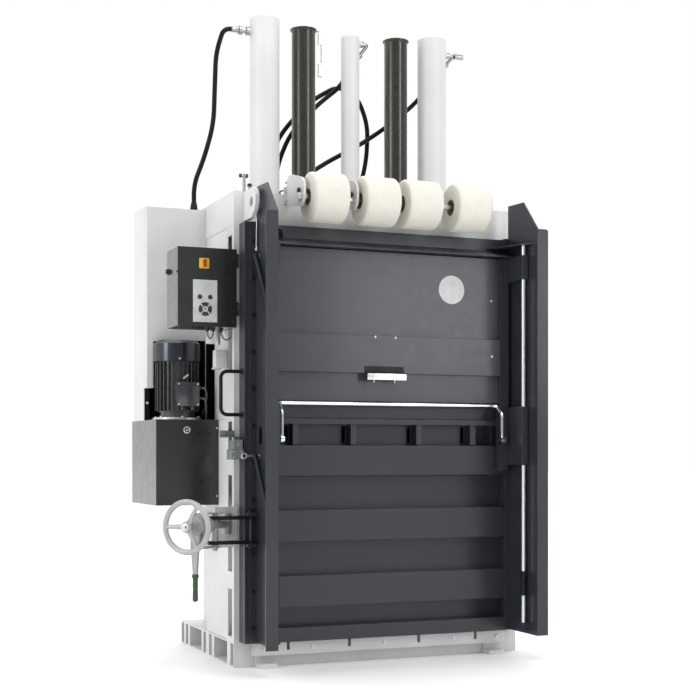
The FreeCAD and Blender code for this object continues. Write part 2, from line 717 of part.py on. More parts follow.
def build_door_fittings():
    """Guide rods, buffers, stays, lanyard, pull handle and switch link."""
    rods = []
    buffers = []
    for side in (-1, 1):
        x = side * d.guide_rod_x
        y = -d.guide_rod_y
        foot = size(170)
        rods.append(rod(f"guide_rod_{side}", "z", x, y, foot, d.rod_radius, d.beam_high - 51 - foot))
        rings = []
        for radius, low, height in ((15, 293, 42), (13, 335, 26), (15, 361, 42)):
            rings.append(rod(f"buffer_{side}_{low}", "z", x, y, low, radius, height))
        hole = rod(f"buffer_hole_{side}", "z", x, y, 280, d.rod_radius, 140)
        buffers.append(cut(f"buffer_{side}", fused(f"buffer_rings_{side}", rings), [hole]))
    node(fused("guide_rods", rods), "guide_rods")
    node(fused("rod_buffers", buffers), "rod_buffers")

    stays = []
    for side in (-1, 1):
        for high in ((d.wing_high - 307).value, (d.rail_low - 144).value):
            x = side * (wing_outer.value + 18)
            top = Vector(x, door_front.value - 38, high)
            foot = Vector(x + side * 4, (wing_front + d.sheet).value + 12, high - 286)
            way = foot - top
            strut = Part.makeCylinder(11, way.Length - 8, top + way * (8 / way.Length), way)
            stud = Part.makeCylinder(5, 18, Vector(side * wing_outer.value, top.y, high),
                                     Vector(side, 0, 0))
            ball = Part.makeSphere(13, top)
            shoe = Part.makeBox(26, 13, 34, Vector(foot.x - 13, foot.y - 12, foot.z - 17))
            stays.append(strut.fuse([stud, ball, shoe]).removeSplitter())
    shaped("wing_stays", Part.makeCompound(stays))

    top = Vector(-wing_outer.value - 6, door_front.value - 26, (d.wing_high - 77).value)
    low = Vector(top.x - 4, top.y - 2, top.z - 188)
    cable = Part.makeCylinder(2.5, (low - top).Length - 1, top, low - top)
    bolt = Part.makeCylinder(7, 10, Vector(-wing_outer.value, top.y, top.z), Vector(-1, 0, 0))
    hook = Part.makeTorus(9, 3.2, low - Vector(0, 0, 9), Vector(1, 0, 0))
    shaped("lanyard", bolt.fuse([cable, hook]).removeSplitter())

    x = -door_half
    mid_y = (door_front + door_back) / 2
    reach = x - 96
    points = [spot(x, mid_y, 1296), spot(reach, mid_y, 1296), spot(reach, mid_y, 1108),
              spot(x, mid_y, 1108)]
    grip = swept_tube(points, 8, 28)
    feet = [Part.makeCylinder(15, 4, spot(x, mid_y, z), Vector(-1, 0, 0)) for z in (1108, 1296)]
    shaped("door_handle", grip.fuse(feet).removeSplitter())

    eye_y = door_front - 14.5
    stud = Part.makeCylinder(5, 52, spot(-wing_outer, eye_y, 929), Vector(-1, 0, 0))
    collar = Part.makeCylinder(8, 8, spot(-wing_outer, eye_y, 929), Vector(-1, 0, 0))
    eye = Part.makeTorus(11, 4, spot(-wing_outer - 60, eye_y, 929), Vector(0, 1, 0))
    shaped("eyebolt_link", stud.fuse([collar, eye]).removeSplitter())


# ---------------------------------------------------------------- loading flap

flap_face = door_front - d.flap_reach
stile_back = door_front - 5
stile_front = stile_back - d.stile_depth


def build_flap():
    """Sliding flap: a sheet with one box band, carried by two stiles."""
    body = new_body("loading_flap")
    back = flap_face + d.sheet
    band = flap_face - d.flap_band_reach
    low = d.flap_low
    high = d.flap_high
    outline = [(back, low), (back, high), (flap_face, high), (flap_face, d.flap_band_high),
               (band, d.flap_band_high - 3), (band, d.flap_band_low), (flap_face, d.flap_band_low),
               (flap_face, low)]
    hollow = box_loop(band + d.sheet, flap_face - 1, d.flap_band_low + d.sheet,
                      d.flap_band_high - 3 - d.sheet)
    pad(body, "side", -d.flap_half, d.flap_half * 2, [outline, hollow])

    for name, side in SIDES:
        carriage = new_body(f"flap_carriage_{name}")
        near, far = span(side, d.flap_half, d.flap_half + d.stile_width)
        web_near, web_far = span(side, d.flap_half + d.sheet, d.flap_half + d.stile_width - d.sheet)
        channel = [(near, stile_back), (web_near, stile_back), (web_near, stile_front + d.sheet),
                   (web_far, stile_front + d.sheet), (web_far, stile_back), (far, stile_back),
                   (far, stile_front), (near, stile_front)]
        pad(carriage, "top", d.stile_low, high - d.stile_low, [channel])
        rod_x = side * d.guide_rod_x
        rod_y = -d.guide_rod_y
        near, far = span(side, d.guide_rod_x - 15, d.guide_rod_x + 15)
        for low_z, high_z in ((d.stile_low + 27, d.flap_low - 19), (high - 110, high)):
            pad(carriage, "top", low_z, high_z - low_z, [box_loop(near, far, rod_y - 14, stile_front)])
        pocket(carriage, "top", d.stile_low, high - d.stile_low + 5,
               circles=[(rod_x, rod_y, d.rod_radius + d.carriage_gap)])
        near, far = span(side, d.flap_half, d.flap_half + 8)
        pad(carriage, "side", near, 8,
            [box_loop(-d.bail_y - 13, stile_front, d.bail_low - 16, d.bail_low + 16)])
        near, far = span(side, d.flap_half - 28, d.flap_half)
        pad(carriage, "side", near, 28, circles=[(-d.bail_y, d.bail_low, size(6))])

    handle = new_body("flap_handle")
    reach = band - 34
    foot = d.flap_band_low
    outline = [(band, foot + 6), (band, foot + 30), (band - 3, foot + 30), (band - 3, foot + 4),
               (reach, foot - 2), (reach, foot - 36), (reach + 4, foot - 36), (reach + 4, foot - 6),
               (band - 2, foot)]
    pad(handle, "side", -135, 190, [outline])


def build_bail():
    """Round bar on two arms that turn on the carriage pins."""
    half = d.bail_half.value
    low = Vector(0, -d.bail_y.value, d.bail_low.value)
    top_y = flap_face.value - 7
    points = [low + Vector(-half, 0, 14), low + Vector(-half, 0, 118),
              Vector(-half, top_y, d.bail_high.value), Vector(half, top_y, d.bail_high.value),
              low + Vector(half, 0, 118), low + Vector(half, 0, 14)]
    bar = swept_tube(points, d.bail_radius.value, 20)
    solid = bar
    for side in (-1, 1):
        start = low + Vector(side * half - 8, 0, 0)
        solid = solid.fuse(Part.makeCylinder(16, 16, start, Vector(1, 0, 0)))
    for side in (-1, 1):
        start = low + Vector(side * half - 9, 0, 0)
        solid = solid.cut(Part.makeCylinder(6 + d.run_gap.value, 18, start, Vector(1, 0, 0)))
    shaped("bail_bar", solid.removeSplitter())


# ---------------------------------------------------------------- strapping reels

def build_reels():
    """Four reels of strapping on one spindle, held by four brackets."""
    offsets = (-d.reel_offset_outer, -d.reel_offset_inner, d.reel_offset_inner, d.reel_offset_outer)
    half = d.reel_length / 2
    for index, middle in enumerate(offsets, start=1):
        body = new_body(f"strap_reel_{index}")
        bore = d.spindle_radius + 0.08
        hub = 30
        turned(body, [(bore, -half + hub), (d.reel_core, -half + hub), (d.reel_core, -half),
                      (d.reel_radius - 3, -half), (d.reel_radius, -half + 3),
                      (d.reel_radius, half - 3), (d.reel_radius - 3, half), (d.reel_core, half),
                      (d.reel_core, half - hub), (bore, half - hub)])
        place(body, middle, -d.reel_y, d.reel_z, TURNS["x"])
    outer_bracket = d.reel_offset_outer + half + 29
    inner_bracket = (d.reel_offset_outer + d.reel_offset_inner) / 2 - 17
    plate = 10
    nose = -d.reel_y - 42
    low = d.reel_z - 5
    outline = [(front, low), (front, d.reel_z + 60), (front - 12, d.reel_z + 103),
               (front - 38, d.reel_z + 116), (front - 78, d.reel_z + 114),
               (nose + 34, d.reel_z + 82), (nose + 8, d.reel_z + 62), (nose, d.reel_z + 36),
               (nose, d.reel_z + 8), (nose + 12, d.reel_z - 26), (nose + 38, d.reel_z - 42),
               (nose + 86, d.reel_z - 34), (front - 77, d.reel_z - 21)]
    brackets = []
    for index, x in enumerate((-outer_bracket, -inner_bracket, inner_bracket, outer_bracket)):
        arm = new_body(f"bracket_arm_{index}")
        NODES.remove(arm)
        pad(arm, "side", x - plate / 2, plate, [outline], [(-d.reel_y, d.reel_z, d.spindle_radius)])
        pad(arm, "front", front - 8, 8, [box_loop(x - 17, x, low, d.reel_z + 72)])
        brackets.append(arm)
    node(fused("spool_brackets", brackets), "spool_brackets")
    start = -outer_bracket - 18
    spindle = rod("spindle_bar", "x", start, -d.reel_y, d.reel_z, d.spindle_radius, -2 * start)
    collars = []
    for x in (-outer_bracket - 17, -outer_bracket + 5, outer_bracket - 17, outer_bracket + 5):
        collars.append(rod(f"spindle_collar_{len(collars)}", "x", x, -d.reel_y, d.reel_z, 19, 12))
    node(fused("spool_spindle", [spindle] + collars), "spool_spindle")


# ---------------------------------------------------------------- hydraulic unit

def build_hydraulic_unit():
    """Oil unit, cabinet above it, and the upright motor."""
    unit = new_body("pump_unit")
    right = -base_half
    pad(unit, "top", d.unit_low, d.unit_high - d.unit_low,
        [box_loop(-d.unit_left, right, -d.unit_front, d.unit_back)])
    pad(unit, "front", -d.unit_front - 7, 8, circles=[(-d.unit_left + 140, d.unit_high - 47, size(17))])

    cabinet = new_body("rear_cabinet")
    pad(cabinet, "top", d.unit_high, d.cabinet_high - d.unit_high,
        [[(-d.unit_left, size(24)), (-d.unit_left + 10, size(0)), (right, size(0)),
          (right, d.cabinet_depth), (-d.unit_left, d.cabinet_depth)]])
    niche = box_loop(-d.unit_left + 26, right - d.cover_sheet, size(-5), d.cabinet_depth - 20)
    pocket(cabinet, "top", d.unit_high - 5, d.niche_high - d.unit_high + 5, [niche])
    near = -d.unit_left - 1
    far = -d.unit_left + 30
    skin = -d.unit_left + d.cover_sheet
    corner = [(near, size(-5)), (far, size(-5)), (far, size(150)), (skin, size(150)),
              (skin, size(24)), (near, size(24))]
    pocket(cabinet, "top", d.unit_high - 5, size(153), [corner])

    motor = new_body("motor_body")
    shaft_hole = size(14)
    foot_top = d.unit_high + d.foot_height
    fins_high = d.motor_high - d.cowl_height
    pad(motor, "top", d.unit_high, 12, circles=[(0, 0, d.foot_radius), (0, 0, shaft_hole)])
    pad(motor, "top", d.unit_high, d.foot_height,
        circles=[(0, 0, d.motor_radius - 6), (0, 0, shaft_hole)])
    pad(motor, "top", foot_top - 1, fins_high - foot_top + 1,
        circles=[(0, 0, d.motor_radius), (0, 0, shaft_hole)])
    fin_tip = d.motor_radius + d.fin_height
    fin = pad(motor, "top", foot_top + 4, fins_high - foot_top - 8,
              [box_loop(d.motor_radius - 3, fin_tip, size(-2), size(2))])
    fins = motor.newObject("PartDesign::PolarPattern", "motor_fins")
    fins.Originals = [fin]
    fins.Axis = (next(item for item in motor.Origin.OriginFeatures if item.Role == "Z_Axis"), [""])
    fins.Angle = 360
    bind(fins, "Occurrences", d.fin_count)
    motor.Tip = fins
    pad(motor, "top", d.unit_high + 74, 84, [box_loop(-40, 50, -fin_tip, -d.motor_radius + 8)])
    place(motor, -d.motor_x, -d.motor_y, 0)

    cowl = new_body("fan_cowl")
    height = d.cowl_height
    wall = 3
    turned(cowl, [(d.cowl_radius - wall, size(0)), (d.cowl_radius, size(0)),
                  (d.cowl_radius, height - 14), (d.cowl_radius - 14, height), (size(0), height),
                  (size(0), height - wall), (d.cowl_radius - 14 - wall, height - wall),
                  (d.cowl_radius - wall, height - 14 - wall)])
    slot = pocket(cowl, "top", height - 10, 20, [box_loop(size(28), d.cowl_radius - 22, size(-5), size(5))])
    vents = cowl.newObject("PartDesign::PolarPattern", "cowl_vents")
    vents.Originals = [slot]
    vents.Axis = (next(item for item in cowl.Origin.OriginFeatures if item.Role == "Z_Axis"), [""])
    vents.Angle = 360
    vents.Occurrences = 16
    cowl.Tip = vents
    clips = [(d.cowl_radius - 10, 0), (-d.cowl_radius + 10, 0)]
    for x, y in clips:
        pad(cowl, "top", 0, 10, [box_loop(x - 9, x + 10, size(-6), size(6))])
    place(cowl, -d.motor_x, -d.motor_y, fins_high)

    fan = new_body("motor_fan")
    pad(fan, "top", size(2), 40, circles=[(0, 0, size(30))])
    blade = pad(fan, "top", size(6), 34, [box_loop(size(25), d.cowl_radius - 25, size(-2), size(2))])
    blades = fan.newObject("PartDesign::PolarPattern", "fan_blades")
    blades.Originals = [blade]
    blades.Axis = (next(item for item in fan.Origin.OriginFeatures if item.Role == "Z_Axis"), [""])
    blades.Angle = 360
    blades.Occurrences = 7
    fan.Tip = blades
    shaft_radius = shaft_hole - d.run_gap
    shaft_low = -(fins_high - d.unit_high) + 1
    pad(fan, "top", shaft_low, 10 - shaft_low, circles=[(0, 0, shaft_radius)])
    place(fan, -d.motor_x, -d.motor_y, fins_high)

    terminal = new_body("terminal_box")
    low = d.unit_high + 60
    plate = -d.motor_y - d.motor_radius - d.fin_height
    pad(terminal, "top", low, 110, [box_loop(-d.motor_x - 42, -d.motor_x + 64, plate - 52, plate - 6)])
    pad(terminal, "top", low + 6, 98, [box_loop(-d.motor_x - 36, -d.motor_x + 58, plate - 7, plate)])
    for x in (-d.motor_x - 8, -d.motor_x + 36):
        pad(terminal, "top", low - 16, 17, circles=[(x, plate - 29, size(9))])


def build_control_box():
    """Steel control box with a hinged lid, key panel and rotary switch."""
    right = -base_half
    left = right - d.box_width
    sheet_gap = 3
    body = new_body("control_box")
    pad(body, "top", d.box_low, d.box_high - d.box_low, [box_loop(left, right, -d.box_front, -d.box_back)])
    inside = box_loop(left + sheet_gap, right - sheet_gap, d.box_low + sheet_gap, d.box_high - sheet_gap)
    pocket(body, "front", -d.box_front - 5, d.box_front - d.box_back - sheet_gap + 5, [inside])
    knuckles = [d.box_low + 50, d.box_high - 80]
    lid_gap = 0.5
    lid_back = -d.box_front - lid_gap
    lid_front = lid_back - d.lid_depth
    axis_x = right + 5.5
    axis_y = -d.box_front - 6
    for start in knuckles:
        pad(body, "top", start, 29.5, [box_loop(right - 1, axis_x, axis_y, -d.box_front + 16)])
        pad(body, "top", start, 29.5, circles=[(axis_x, axis_y, size(5))])
    lid = new_body("control_lid")
    pad(lid, "front", lid_front, d.lid_depth, [box_loop(left, right - 2, d.box_low, d.box_high)])
    for start in knuckles:
        pad(lid, "top", start + 30, 30, [box_loop(right - 4, axis_x, axis_y - 3, axis_y + 3)])
        pad(lid, "top", start + 30, 30, circles=[(axis_x, axis_y, size(5))])
    lock_z = (d.box_low + d.box_high) / 2 + 62
    pad(lid, "side", left - 6, 7, circles=[(lid_front + 6, lock_z, size(5))])
    switch_x = left + 117
    switch_z = d.box_high - 68
    pocket(lid, "front", lid_front - 5, 13, circles=[(switch_x, switch_z, 6 + d.run_gap)])

    panel = new_body("key_panel")
    middle = left + 121
    low = d.box_low + 18
    pad(panel, "front", lid_front - 2, 2, [box_loop(middle - 54, middle + 54, low, low + 182)])
    ring_z = low + 56
    for x, z, radius in ((middle - 24, low + 108, 9), (middle + 22, low + 108, 9), (middle, ring_z, 8)):
        pad(panel, "front", lid_front - 3.2, 2, circles=[(x, z, size(radius))])
    pad(panel, "front", lid_front - 3, 2, circles=[(middle, ring_z, size(30)), (middle, ring_z, size(15))])

    knob = new_body("switch_knob")
    pad(knob, "front", lid_front - 8, 6, circles=[(switch_x, switch_z, size(19))])
    pad(knob, "front", lid_front - 24, 17, [box_loop(switch_x - 7, switch_x + 7, switch_z - 17, switch_z + 17)])
    pad(knob, "front", lid_front - 3, 10, circles=[(switch_x, switch_z, size(6))])

    guard = new_body("safety_switch")
    near = -base_half - 33
    pad(guard, "front", front - 80, 80, [box_loop(near, near + 52, size(913), size(957))])
    pad(guard, "front", front - 76, 76, [box_loop(near + 9, near + 49, size(955), size(1000))])


# ---------------------------------------------------------------- door lock

lock_angle = 180 + d.lock_turn
nose_x = -d.lock_nose_x
nose_y = -d.lock_nose_y


def lock_point(reach):
    """A point on the spindle line, at a distance out from the nose."""
    return nose_x - reach * cosine(d.lock_turn), nose_y - reach * sine(d.lock_turn)


def lock_turned(local):
    """The spindle line's turn, with a piece's own turn first."""
    return Rotation(Vector(0, 0, 1), lock_angle.value).multiply(local)


def along(name, start, radius, length):
    """A round piece on the spindle line."""
    item = doc.addObject("Part::Cylinder", name)
    bind(item, "Radius", radius)
    bind(item, "Height", length)
    x, y = lock_point(size(start))
    return place(item, x, y, d.lock_axis_z, lock_turned(TURNS["x"]))


def build_lock():
    """Swinging lock: two flat arms, a housing, its spindle wheel and a lever."""
    post_x, post_y = lock_point(d.post_reach)
    pin_x = -d.lock_pin_x
    pin_y = -d.lock_pin_y
    arms = []
    for index, middle in enumerate((d.lock_arm_high, d.lock_arm_low)):
        arm = new_body(f"lock_arm_{index}")
        NODES.remove(arm)
        start = middle - 8
        pad(arm, "top", start, 16,
            [[(pin_x, pin_y + 13), (post_x, post_y + 15), (post_x - 32, post_y + 12),
              (post_x - 32, post_y - 12), (post_x, post_y - 15), (pin_x, pin_y - 13)]])
        pad(arm, "top", start, 16, circles=[(pin_x, pin_y, size(15))])
        pocket(arm, "top", start, 16, circles=[(pin_x, pin_y, 8 + d.run_gap)])
        pocket(arm, "top", start, 16, circles=[(post_x, post_y, size(10))])
        arms.append(arm)
    node(fused("lock_arms", arms), "lock_arms")
    low_face = d.lock_arm_low - 8
    high_face = d.lock_arm_high + 8
    arm_gap = d.lock_arm_high - d.lock_arm_low - 16
    stud = rod("lock_stud", "z", post_x, post_y, low_face - 26, 10, high_face - low_face + 38)
    post = rod("lock_post", "z", post_x, post_y, low_face + 16, 15, arm_gap)
    nuts = [rod("lock_nut_low", "z", post_x, post_y, low_face - 18, 15, 18),
            rod("lock_nut_high", "z", post_x, post_y, high_face, 14, 8)]
    nose = rod("lock_nose", "z", nose_x, nose_y, d.lock_axis_z - 45, 22, 90)
    drum_end = d.lever_reach - 14
    barrel = along("lock_barrel", 0, 19, drum_end)
    tube = along("lock_tube", drum_end - 10, d.tube_radius, 42)
    drum = along("lock_drum", drum_end - 82, d.drum_radius, 82)
    flange = along("lock_flange", d.lever_reach + 14, d.drum_radius - 3, 7)
    bore = along("lock_bore", 60, d.lock_spindle + d.run_gap, d.lever_reach)
    casting = fused("lock_casting", [stud, post, nose, barrel, tube, drum, flange] + nuts)
    node(cut("lock_housing", casting, [bore]), "lock_housing")

    wheel_x, wheel_y = lock_point(d.wheel_reach)
    rim = doc.addObject("Part::Torus", "wheel_rim")
    bind(rim, "Radius1", d.wheel_radius)
    bind(rim, "Radius2", d.wheel_rim)
    place(rim, wheel_x, wheel_y, d.lock_axis_z, lock_turned(TURNS["x"]))
    spindle = along("wheel_spindle", 80, d.lock_spindle, d.wheel_reach - 66)
    hub = along("wheel_hub", d.wheel_reach - 24, 24, 40)
    spokes = []
    for index in range(3):
        spoke = doc.addObject("Part::Cylinder", f"wheel_spoke_{index}")
        spoke.Radius = 8
        bind(spoke, "Height", d.wheel_radius)
        turn = lock_turned(Rotation(Vector(1, 0, 0), 90 + 120 * index))
        place(spoke, wheel_x, wheel_y, d.lock_axis_z, turn)
        spokes.append(spoke)
    node(fused("handwheel", [rim, spindle, hub] + spokes), "handwheel")

    lever = new_body("release_lever")
    ring = d.drum_radius + 4
    pad(lever, "side", -13, 26, circles=[(0, 0, ring), (0, 0, d.tube_radius + d.run_gap)])
    arm_low = -207
    pad(lever, "side", -6, 12, [[(-ring + 8, -ring + 20), (-9, arm_low), (9, arm_low),
                                 (ring - 8, -ring + 20)]])
    pocket(lever, "side", -14, 28, circles=[(0, 0, d.tube_radius + d.run_gap)])
    pad(lever, "top", arm_low - 108, 112, circles=[(0, 0, size(12))])
    lever_x, lever_y = lock_point(d.lever_reach)
    place(lever, lever_x, lever_y, d.lock_axis_z, Rotation(Vector(0, 0, 1), lock_angle.value))


# ---------------------------------------------------------------- hoses

def turned_fitting(points, radius, bend):
    """A steel elbow with a hexagon nut at each end."""
    pipe = swept_tube(points, radius, bend)
    nuts = []
    for end, other in ((points[0], points[1]), (points[-1], points[-2])):
        way = (other - end).normalize()
        corners = Part.makeCylinder(radius * 1.75, 16, end, way)
        nuts.append(corners)
    return pipe.fuse(nuts).removeSplitter()


def build_hoses():
    """Pressure hoses from the cabinet and the head to the barrel tops."""
    hose = 11
    back = press_y.value
    deck = head_top.value
    reach = (d.cylinder_offset + d.cylinder_radius + d.port_reach).value
    level = (d.cylinder_high - d.port_low).value
    left_port = Vector(-reach, back, level)
    right_port = Vector(reach, back, level)
    centre_port = Vector((d.small_radius + d.port_reach).value, back, (d.small_high - d.small_port).value)
    bulkhead = 24
    landings = [Vector(-345, 46, deck), Vector(-384, 82, deck), Vector(112, 78, deck),
                Vector(-240, 50, deck), Vector(-730, 100, d.cabinet_high.value)]
    left_end = left_port + Vector(-52, 0, 0)
    centre_end = centre_port + Vector(6, 34, -52)
    right_end = right_port + Vector(16, 44, -40)
    pieces = [
        turned_fitting([left_port, left_end], 12, None),
        turned_fitting([centre_port, centre_port + Vector(38, 0, 0), centre_port + Vector(30, 14, -18),
                        centre_end], 9, 6),
        turned_fitting([right_port, right_port + Vector(42, 0, 0), right_port + Vector(36, 14, -12),
                        right_end], 9, 6),
        Part.makeCylinder(14, 46, right_port + Vector(48, 0, 0), Vector(1, 0, 0)),
    ]
    for landing in landings:
        pieces.append(Part.makeCylinder(15, bulkhead, landing, Vector(0, 0, 1)))
    tee = Vector(-642, -398, deck)
    post = Part.makeCylinder(7, 84, tee, Vector(0, 0, 1))
    cross = Part.makeCylinder(6, 36, tee + Vector(-20, 0, 76), Vector(1, 0, 0))
    short_post = Part.makeCylinder(6, 42, tee + Vector(26, 0, 0), Vector(0, 0, 1))
    pieces += [post.fuse(cross).removeSplitter(), short_post]
    shaped("hose_fittings", Part.makeCompound(pieces))

    top = Vector(0, 0, bulkhead)
    starts = [landing + top for landing in landings]
    left = [left_end, left_end + Vector(-72, 0, 0), Vector(-668, -55, deck + 710), Vector(-668, -35, deck + 550),
            Vector(-666, -10, deck + 390), Vector(-696, 45, deck + 240), Vector(-730, 100, deck + 125), starts[4]]
    way = Vector(-24, 20, -34)
    centre = [centre_end, centre_end + way, Vector(-3, 42, deck + 648), Vector(-134, 46, deck + 538),
              Vector(-268, 46, deck + 388), Vector(-326, 46, deck + 250), Vector(-345, 46, deck + 130), starts[0]]
    arch = [starts[1], Vector(-384, 82, deck + 130), Vector(-370, 82, deck + 250), Vector(-300, 82, deck + 400),
            Vector(-150, 82, deck + 570), Vector(0, 82, deck + 660), Vector(104, 82, deck + 610), Vector(156, 82, deck + 480),
            Vector(150, 82, deck + 310), Vector(112, 78, deck + 160), starts[2]]
    way = Vector(-20, 30, -28)
    right = [right_end, right_end + way, Vector(412, 50, deck + 612), Vector(232, 50, deck + 462),
             Vector(92, 50, deck + 365), Vector(-60, 50, deck + 280), Vector(-180, 50, deck + 200), Vector(-240, 50, deck + 120),
             starts[3]]
    for label, points in (("hose_left", left), ("hose_centre", centre), ("hose_arch", arch),
                          ("hose_right", right)):
        path = smooth_path(points)
        radii = [round(edge.Curve.Radius) for edge in path.Edges if hasattr(edge.Curve, "Radius")]
        print(label, "length", round(path.Length), "arc radii", radii)
        shaped(label, swept_tube(points, hose))


# ---------------------------------------------------------------- build and write

def check_and_write():
    for item in doc.Objects:
        for word in ("Invalid", "Error"):
            if word in item.State:
                raise RuntimeError(f"{item.Label} is {item.State}")
        if item.TypeId == "PartDesign::Pocket":
            before = item.BaseFeature.Shape.Volume
            if not item.Shape.Volume < before:
                raise RuntimeError(f"{item.Label} cuts nothing")
    os.makedirs("parts", exist_ok=True)
    for item in NODES:
        if item.Shape.isNull() or not item.Shape.isValid():
            raise RuntimeError(f"{item.Label} has no sound shape")
    for item in NODES:
        item.Shape.exportStep(f"parts/{item.Label}.step")


build_base()
build_sill()
build_walls()
build_columns()
build_hinge_pins()
build_head()
build_cylinders()
build_platen()
build_switch_cam()
build_door()
build_crossbar()
build_wings()
build_door_fittings()
build_flap()
build_bail()
build_reels()
build_hydraulic_unit()
build_control_box()
build_lock()
build_hoses()
doc.recompute()
check_and_write()
print(len(NODES), "pieces")
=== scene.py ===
"""Looks of a vertical recycling baler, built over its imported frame, in metres."""

import logging
import math
from dataclasses import dataclass
from enum import Enum
from functools import cache

import bmesh
import bpy
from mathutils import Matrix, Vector

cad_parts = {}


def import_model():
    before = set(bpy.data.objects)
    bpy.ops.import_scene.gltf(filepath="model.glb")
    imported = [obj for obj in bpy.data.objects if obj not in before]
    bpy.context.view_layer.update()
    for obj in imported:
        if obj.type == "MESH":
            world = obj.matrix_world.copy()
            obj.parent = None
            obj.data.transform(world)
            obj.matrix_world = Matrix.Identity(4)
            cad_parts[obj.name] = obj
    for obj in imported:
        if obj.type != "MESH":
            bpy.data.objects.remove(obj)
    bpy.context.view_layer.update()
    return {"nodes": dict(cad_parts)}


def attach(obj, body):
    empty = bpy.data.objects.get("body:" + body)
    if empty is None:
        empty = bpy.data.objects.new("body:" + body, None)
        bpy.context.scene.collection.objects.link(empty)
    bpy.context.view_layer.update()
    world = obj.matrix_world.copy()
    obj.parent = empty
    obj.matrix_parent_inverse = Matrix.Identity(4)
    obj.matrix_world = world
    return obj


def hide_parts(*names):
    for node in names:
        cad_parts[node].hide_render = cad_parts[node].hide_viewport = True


Colour = tuple[float, float, float]
Point = tuple[float, float, float]
Section = list[tuple[float, float]]
Socket = bpy.types.NodeSocket

REPORT = logging.getLogger("baler")
LEFT, RIGHT = (-1, 0, 0), (1, 0, 0)
FRONT, REAR = (0, -1, 0), (0, 1, 0)
DOWN, UP = (0, 0, -1), (0, 0, 1)


class Body(Enum):
    """The bodies that pieces ride on."""

    FRAME = "frame"
    DOOR = "door"
    FLAP = "flap"
    LOCK = "lock"
    WHEEL = "wheel"
    LEVER = "lever"
    REEL_1 = "reel_1"
    REEL_2 = "reel_2"
    REEL_3 = "reel_3"
    REEL_4 = "reel_4"
    LID = "lid"
    KNOB = "knob"


# ------------------------------------------------------------------ finishes

class Graph:
    """The node tree of one material, with short calls that add and join nodes."""

    def __init__(self, name: str) -> None:
        """Start a material of this name with its surface shader."""
        self.material = bpy.data.materials.new(name)
        self.material.use_nodes = True
        self.tree = self.material.node_tree
        self.shader = self.tree.nodes["Principled BSDF"]
        self.place = self.add("TexCoord").outputs["Object"]

    def feed(self, target: Socket, value: object) -> None:
        """Join a socket to an input, or set the input to a value.

        Args:
            target: The input.
            value: A socket, a colour or another value.
        """
        if isinstance(value, Socket):
            self.tree.links.new(value, target)
        else:
            target.default_value = (*value, 1) if target.type == "RGBA" else value

    def add(self, kind: str, inputs: dict | None = None, **settings: object) -> bpy.types.Node:
        """Add a node.

        Args:
            kind: The node's type name, without ShaderNode.
            inputs: Values or sockets for its inputs, by name or number.
            settings: The node's own properties.

        Returns:
            The new node.
        """
        node = self.tree.nodes.new("ShaderNode" + kind)
        for key, value in settings.items():
            setattr(node, key, value)
        for key, value in (inputs or {}).items():
            self.feed(node.inputs[key], value)
        return node

    def noise(self, scale: float, detail: float, stretch: Point = (1, 1, 1),
              rough: float = 0.55) -> Socket:
        """Give soft random values.

        Args:
            scale: Features per metre.
            detail: Octaves of finer noise.
            stretch: Multipliers of the position along each axis.
            rough: Strength of the finer octaves.

        Returns:
            The noise value, from 0 to 1.
        """
        where = self.add("Mapping", {"Vector": self.place, "Scale": stretch}).outputs["Vector"]
        return self.add("TexNoise", {"Vector": where, "Scale": scale, "Detail": detail,
                                     "Roughness": rough}).outputs["Fac"]

    def spread(self, source: Socket, low: float, high: float, start: float = 0.3,
               end: float = 0.7) -> Socket:
        """Map the values from start to end onto the values from low to high.

        Args:
            source: The values to map.
            low: The result at start.
            high: The result at end.
            start: Lower source value.
            end: Upper source value.

        Returns:
            The mapped values.
        """
        return self.add("MapRange", {"Value": source, "From Min": start, "From Max": end,
                                     "To Min": low, "To Max": high}).outputs["Result"]

    def blend(self, share: Socket, first: object, second: object) -> Socket:
        """Blend two colours.

        Args:
            share: How much of the second colour shows.
            first: A colour or a colour socket.
            second: A colour or a colour socket.

        Returns:
            The blended colour.
        """
        return self.add("Mix", {0: share, 6: first, 7: second}, data_type="RGBA").outputs[2]

    def rounded(self, radius: float) -> Socket:
        """Give a normal that rounds the edges by this radius."""
        return self.add("Bevel", {"Radius": radius}, samples=3).outputs["Normal"]

    def edges(self, normal: Socket, wear: float) -> Socket:
        """Find the worn edges.

        Args:
            normal: The rounded normal.
            wear: Share of the edges that is worn, from 0 to 1.

        Returns:
            A mask that is 1 on worn edges.
        """
        flat = self.add("NewGeometry").outputs["Normal"]
        likeness = self.add("VectorMath", {0: normal, 1: flat}, operation="DOT_PRODUCT")
        edge = self.spread(likeness.outputs["Value"], 1, 0, 0.8, 0.985)
        patches = self.spread(self.noise(38, 4), 0, 1, 0.66 - 0.4 * wear, 0.76 - 0.4 * wear)
        return self.add("Math", {0: edge, 1: patches}, operation="MULTIPLY").outputs[0]

    def relief(self, height: Socket, depth: float, strength: float,
               normal: Socket | None = None) -> Socket:
        """Turn a height into a normal.

        Args:
            height: The height, from 0 to 1.
            depth: Metres from lowest to highest.
            strength: How much of it counts.
            normal: The normal that it is laid on.

        Returns:
            The new normal.
        """
        inputs = {"Height": height, "Distance": depth, "Strength": strength}
        if normal is not None:
            inputs["Normal"] = normal
        return self.add("Bump", inputs).outputs["Normal"]

    def wear_in(self, **sockets: object) -> bpy.types.Material:
        """Set or join the surface shader's sockets and hand over the material.

        Args:
            sockets: Values or sockets, with underscores for spaces in the names.

        Returns:
            The finished material.
        """
        for key, value in sockets.items():
            self.feed(self.shader.inputs[key.replace("_", " ")], value)
        return self.material


def shade(colour: Colour, factor: float) -> Colour:
    """Give a colour made darker or lighter by a factor."""
    return tuple(min(1.0, part * factor) for part in colour)


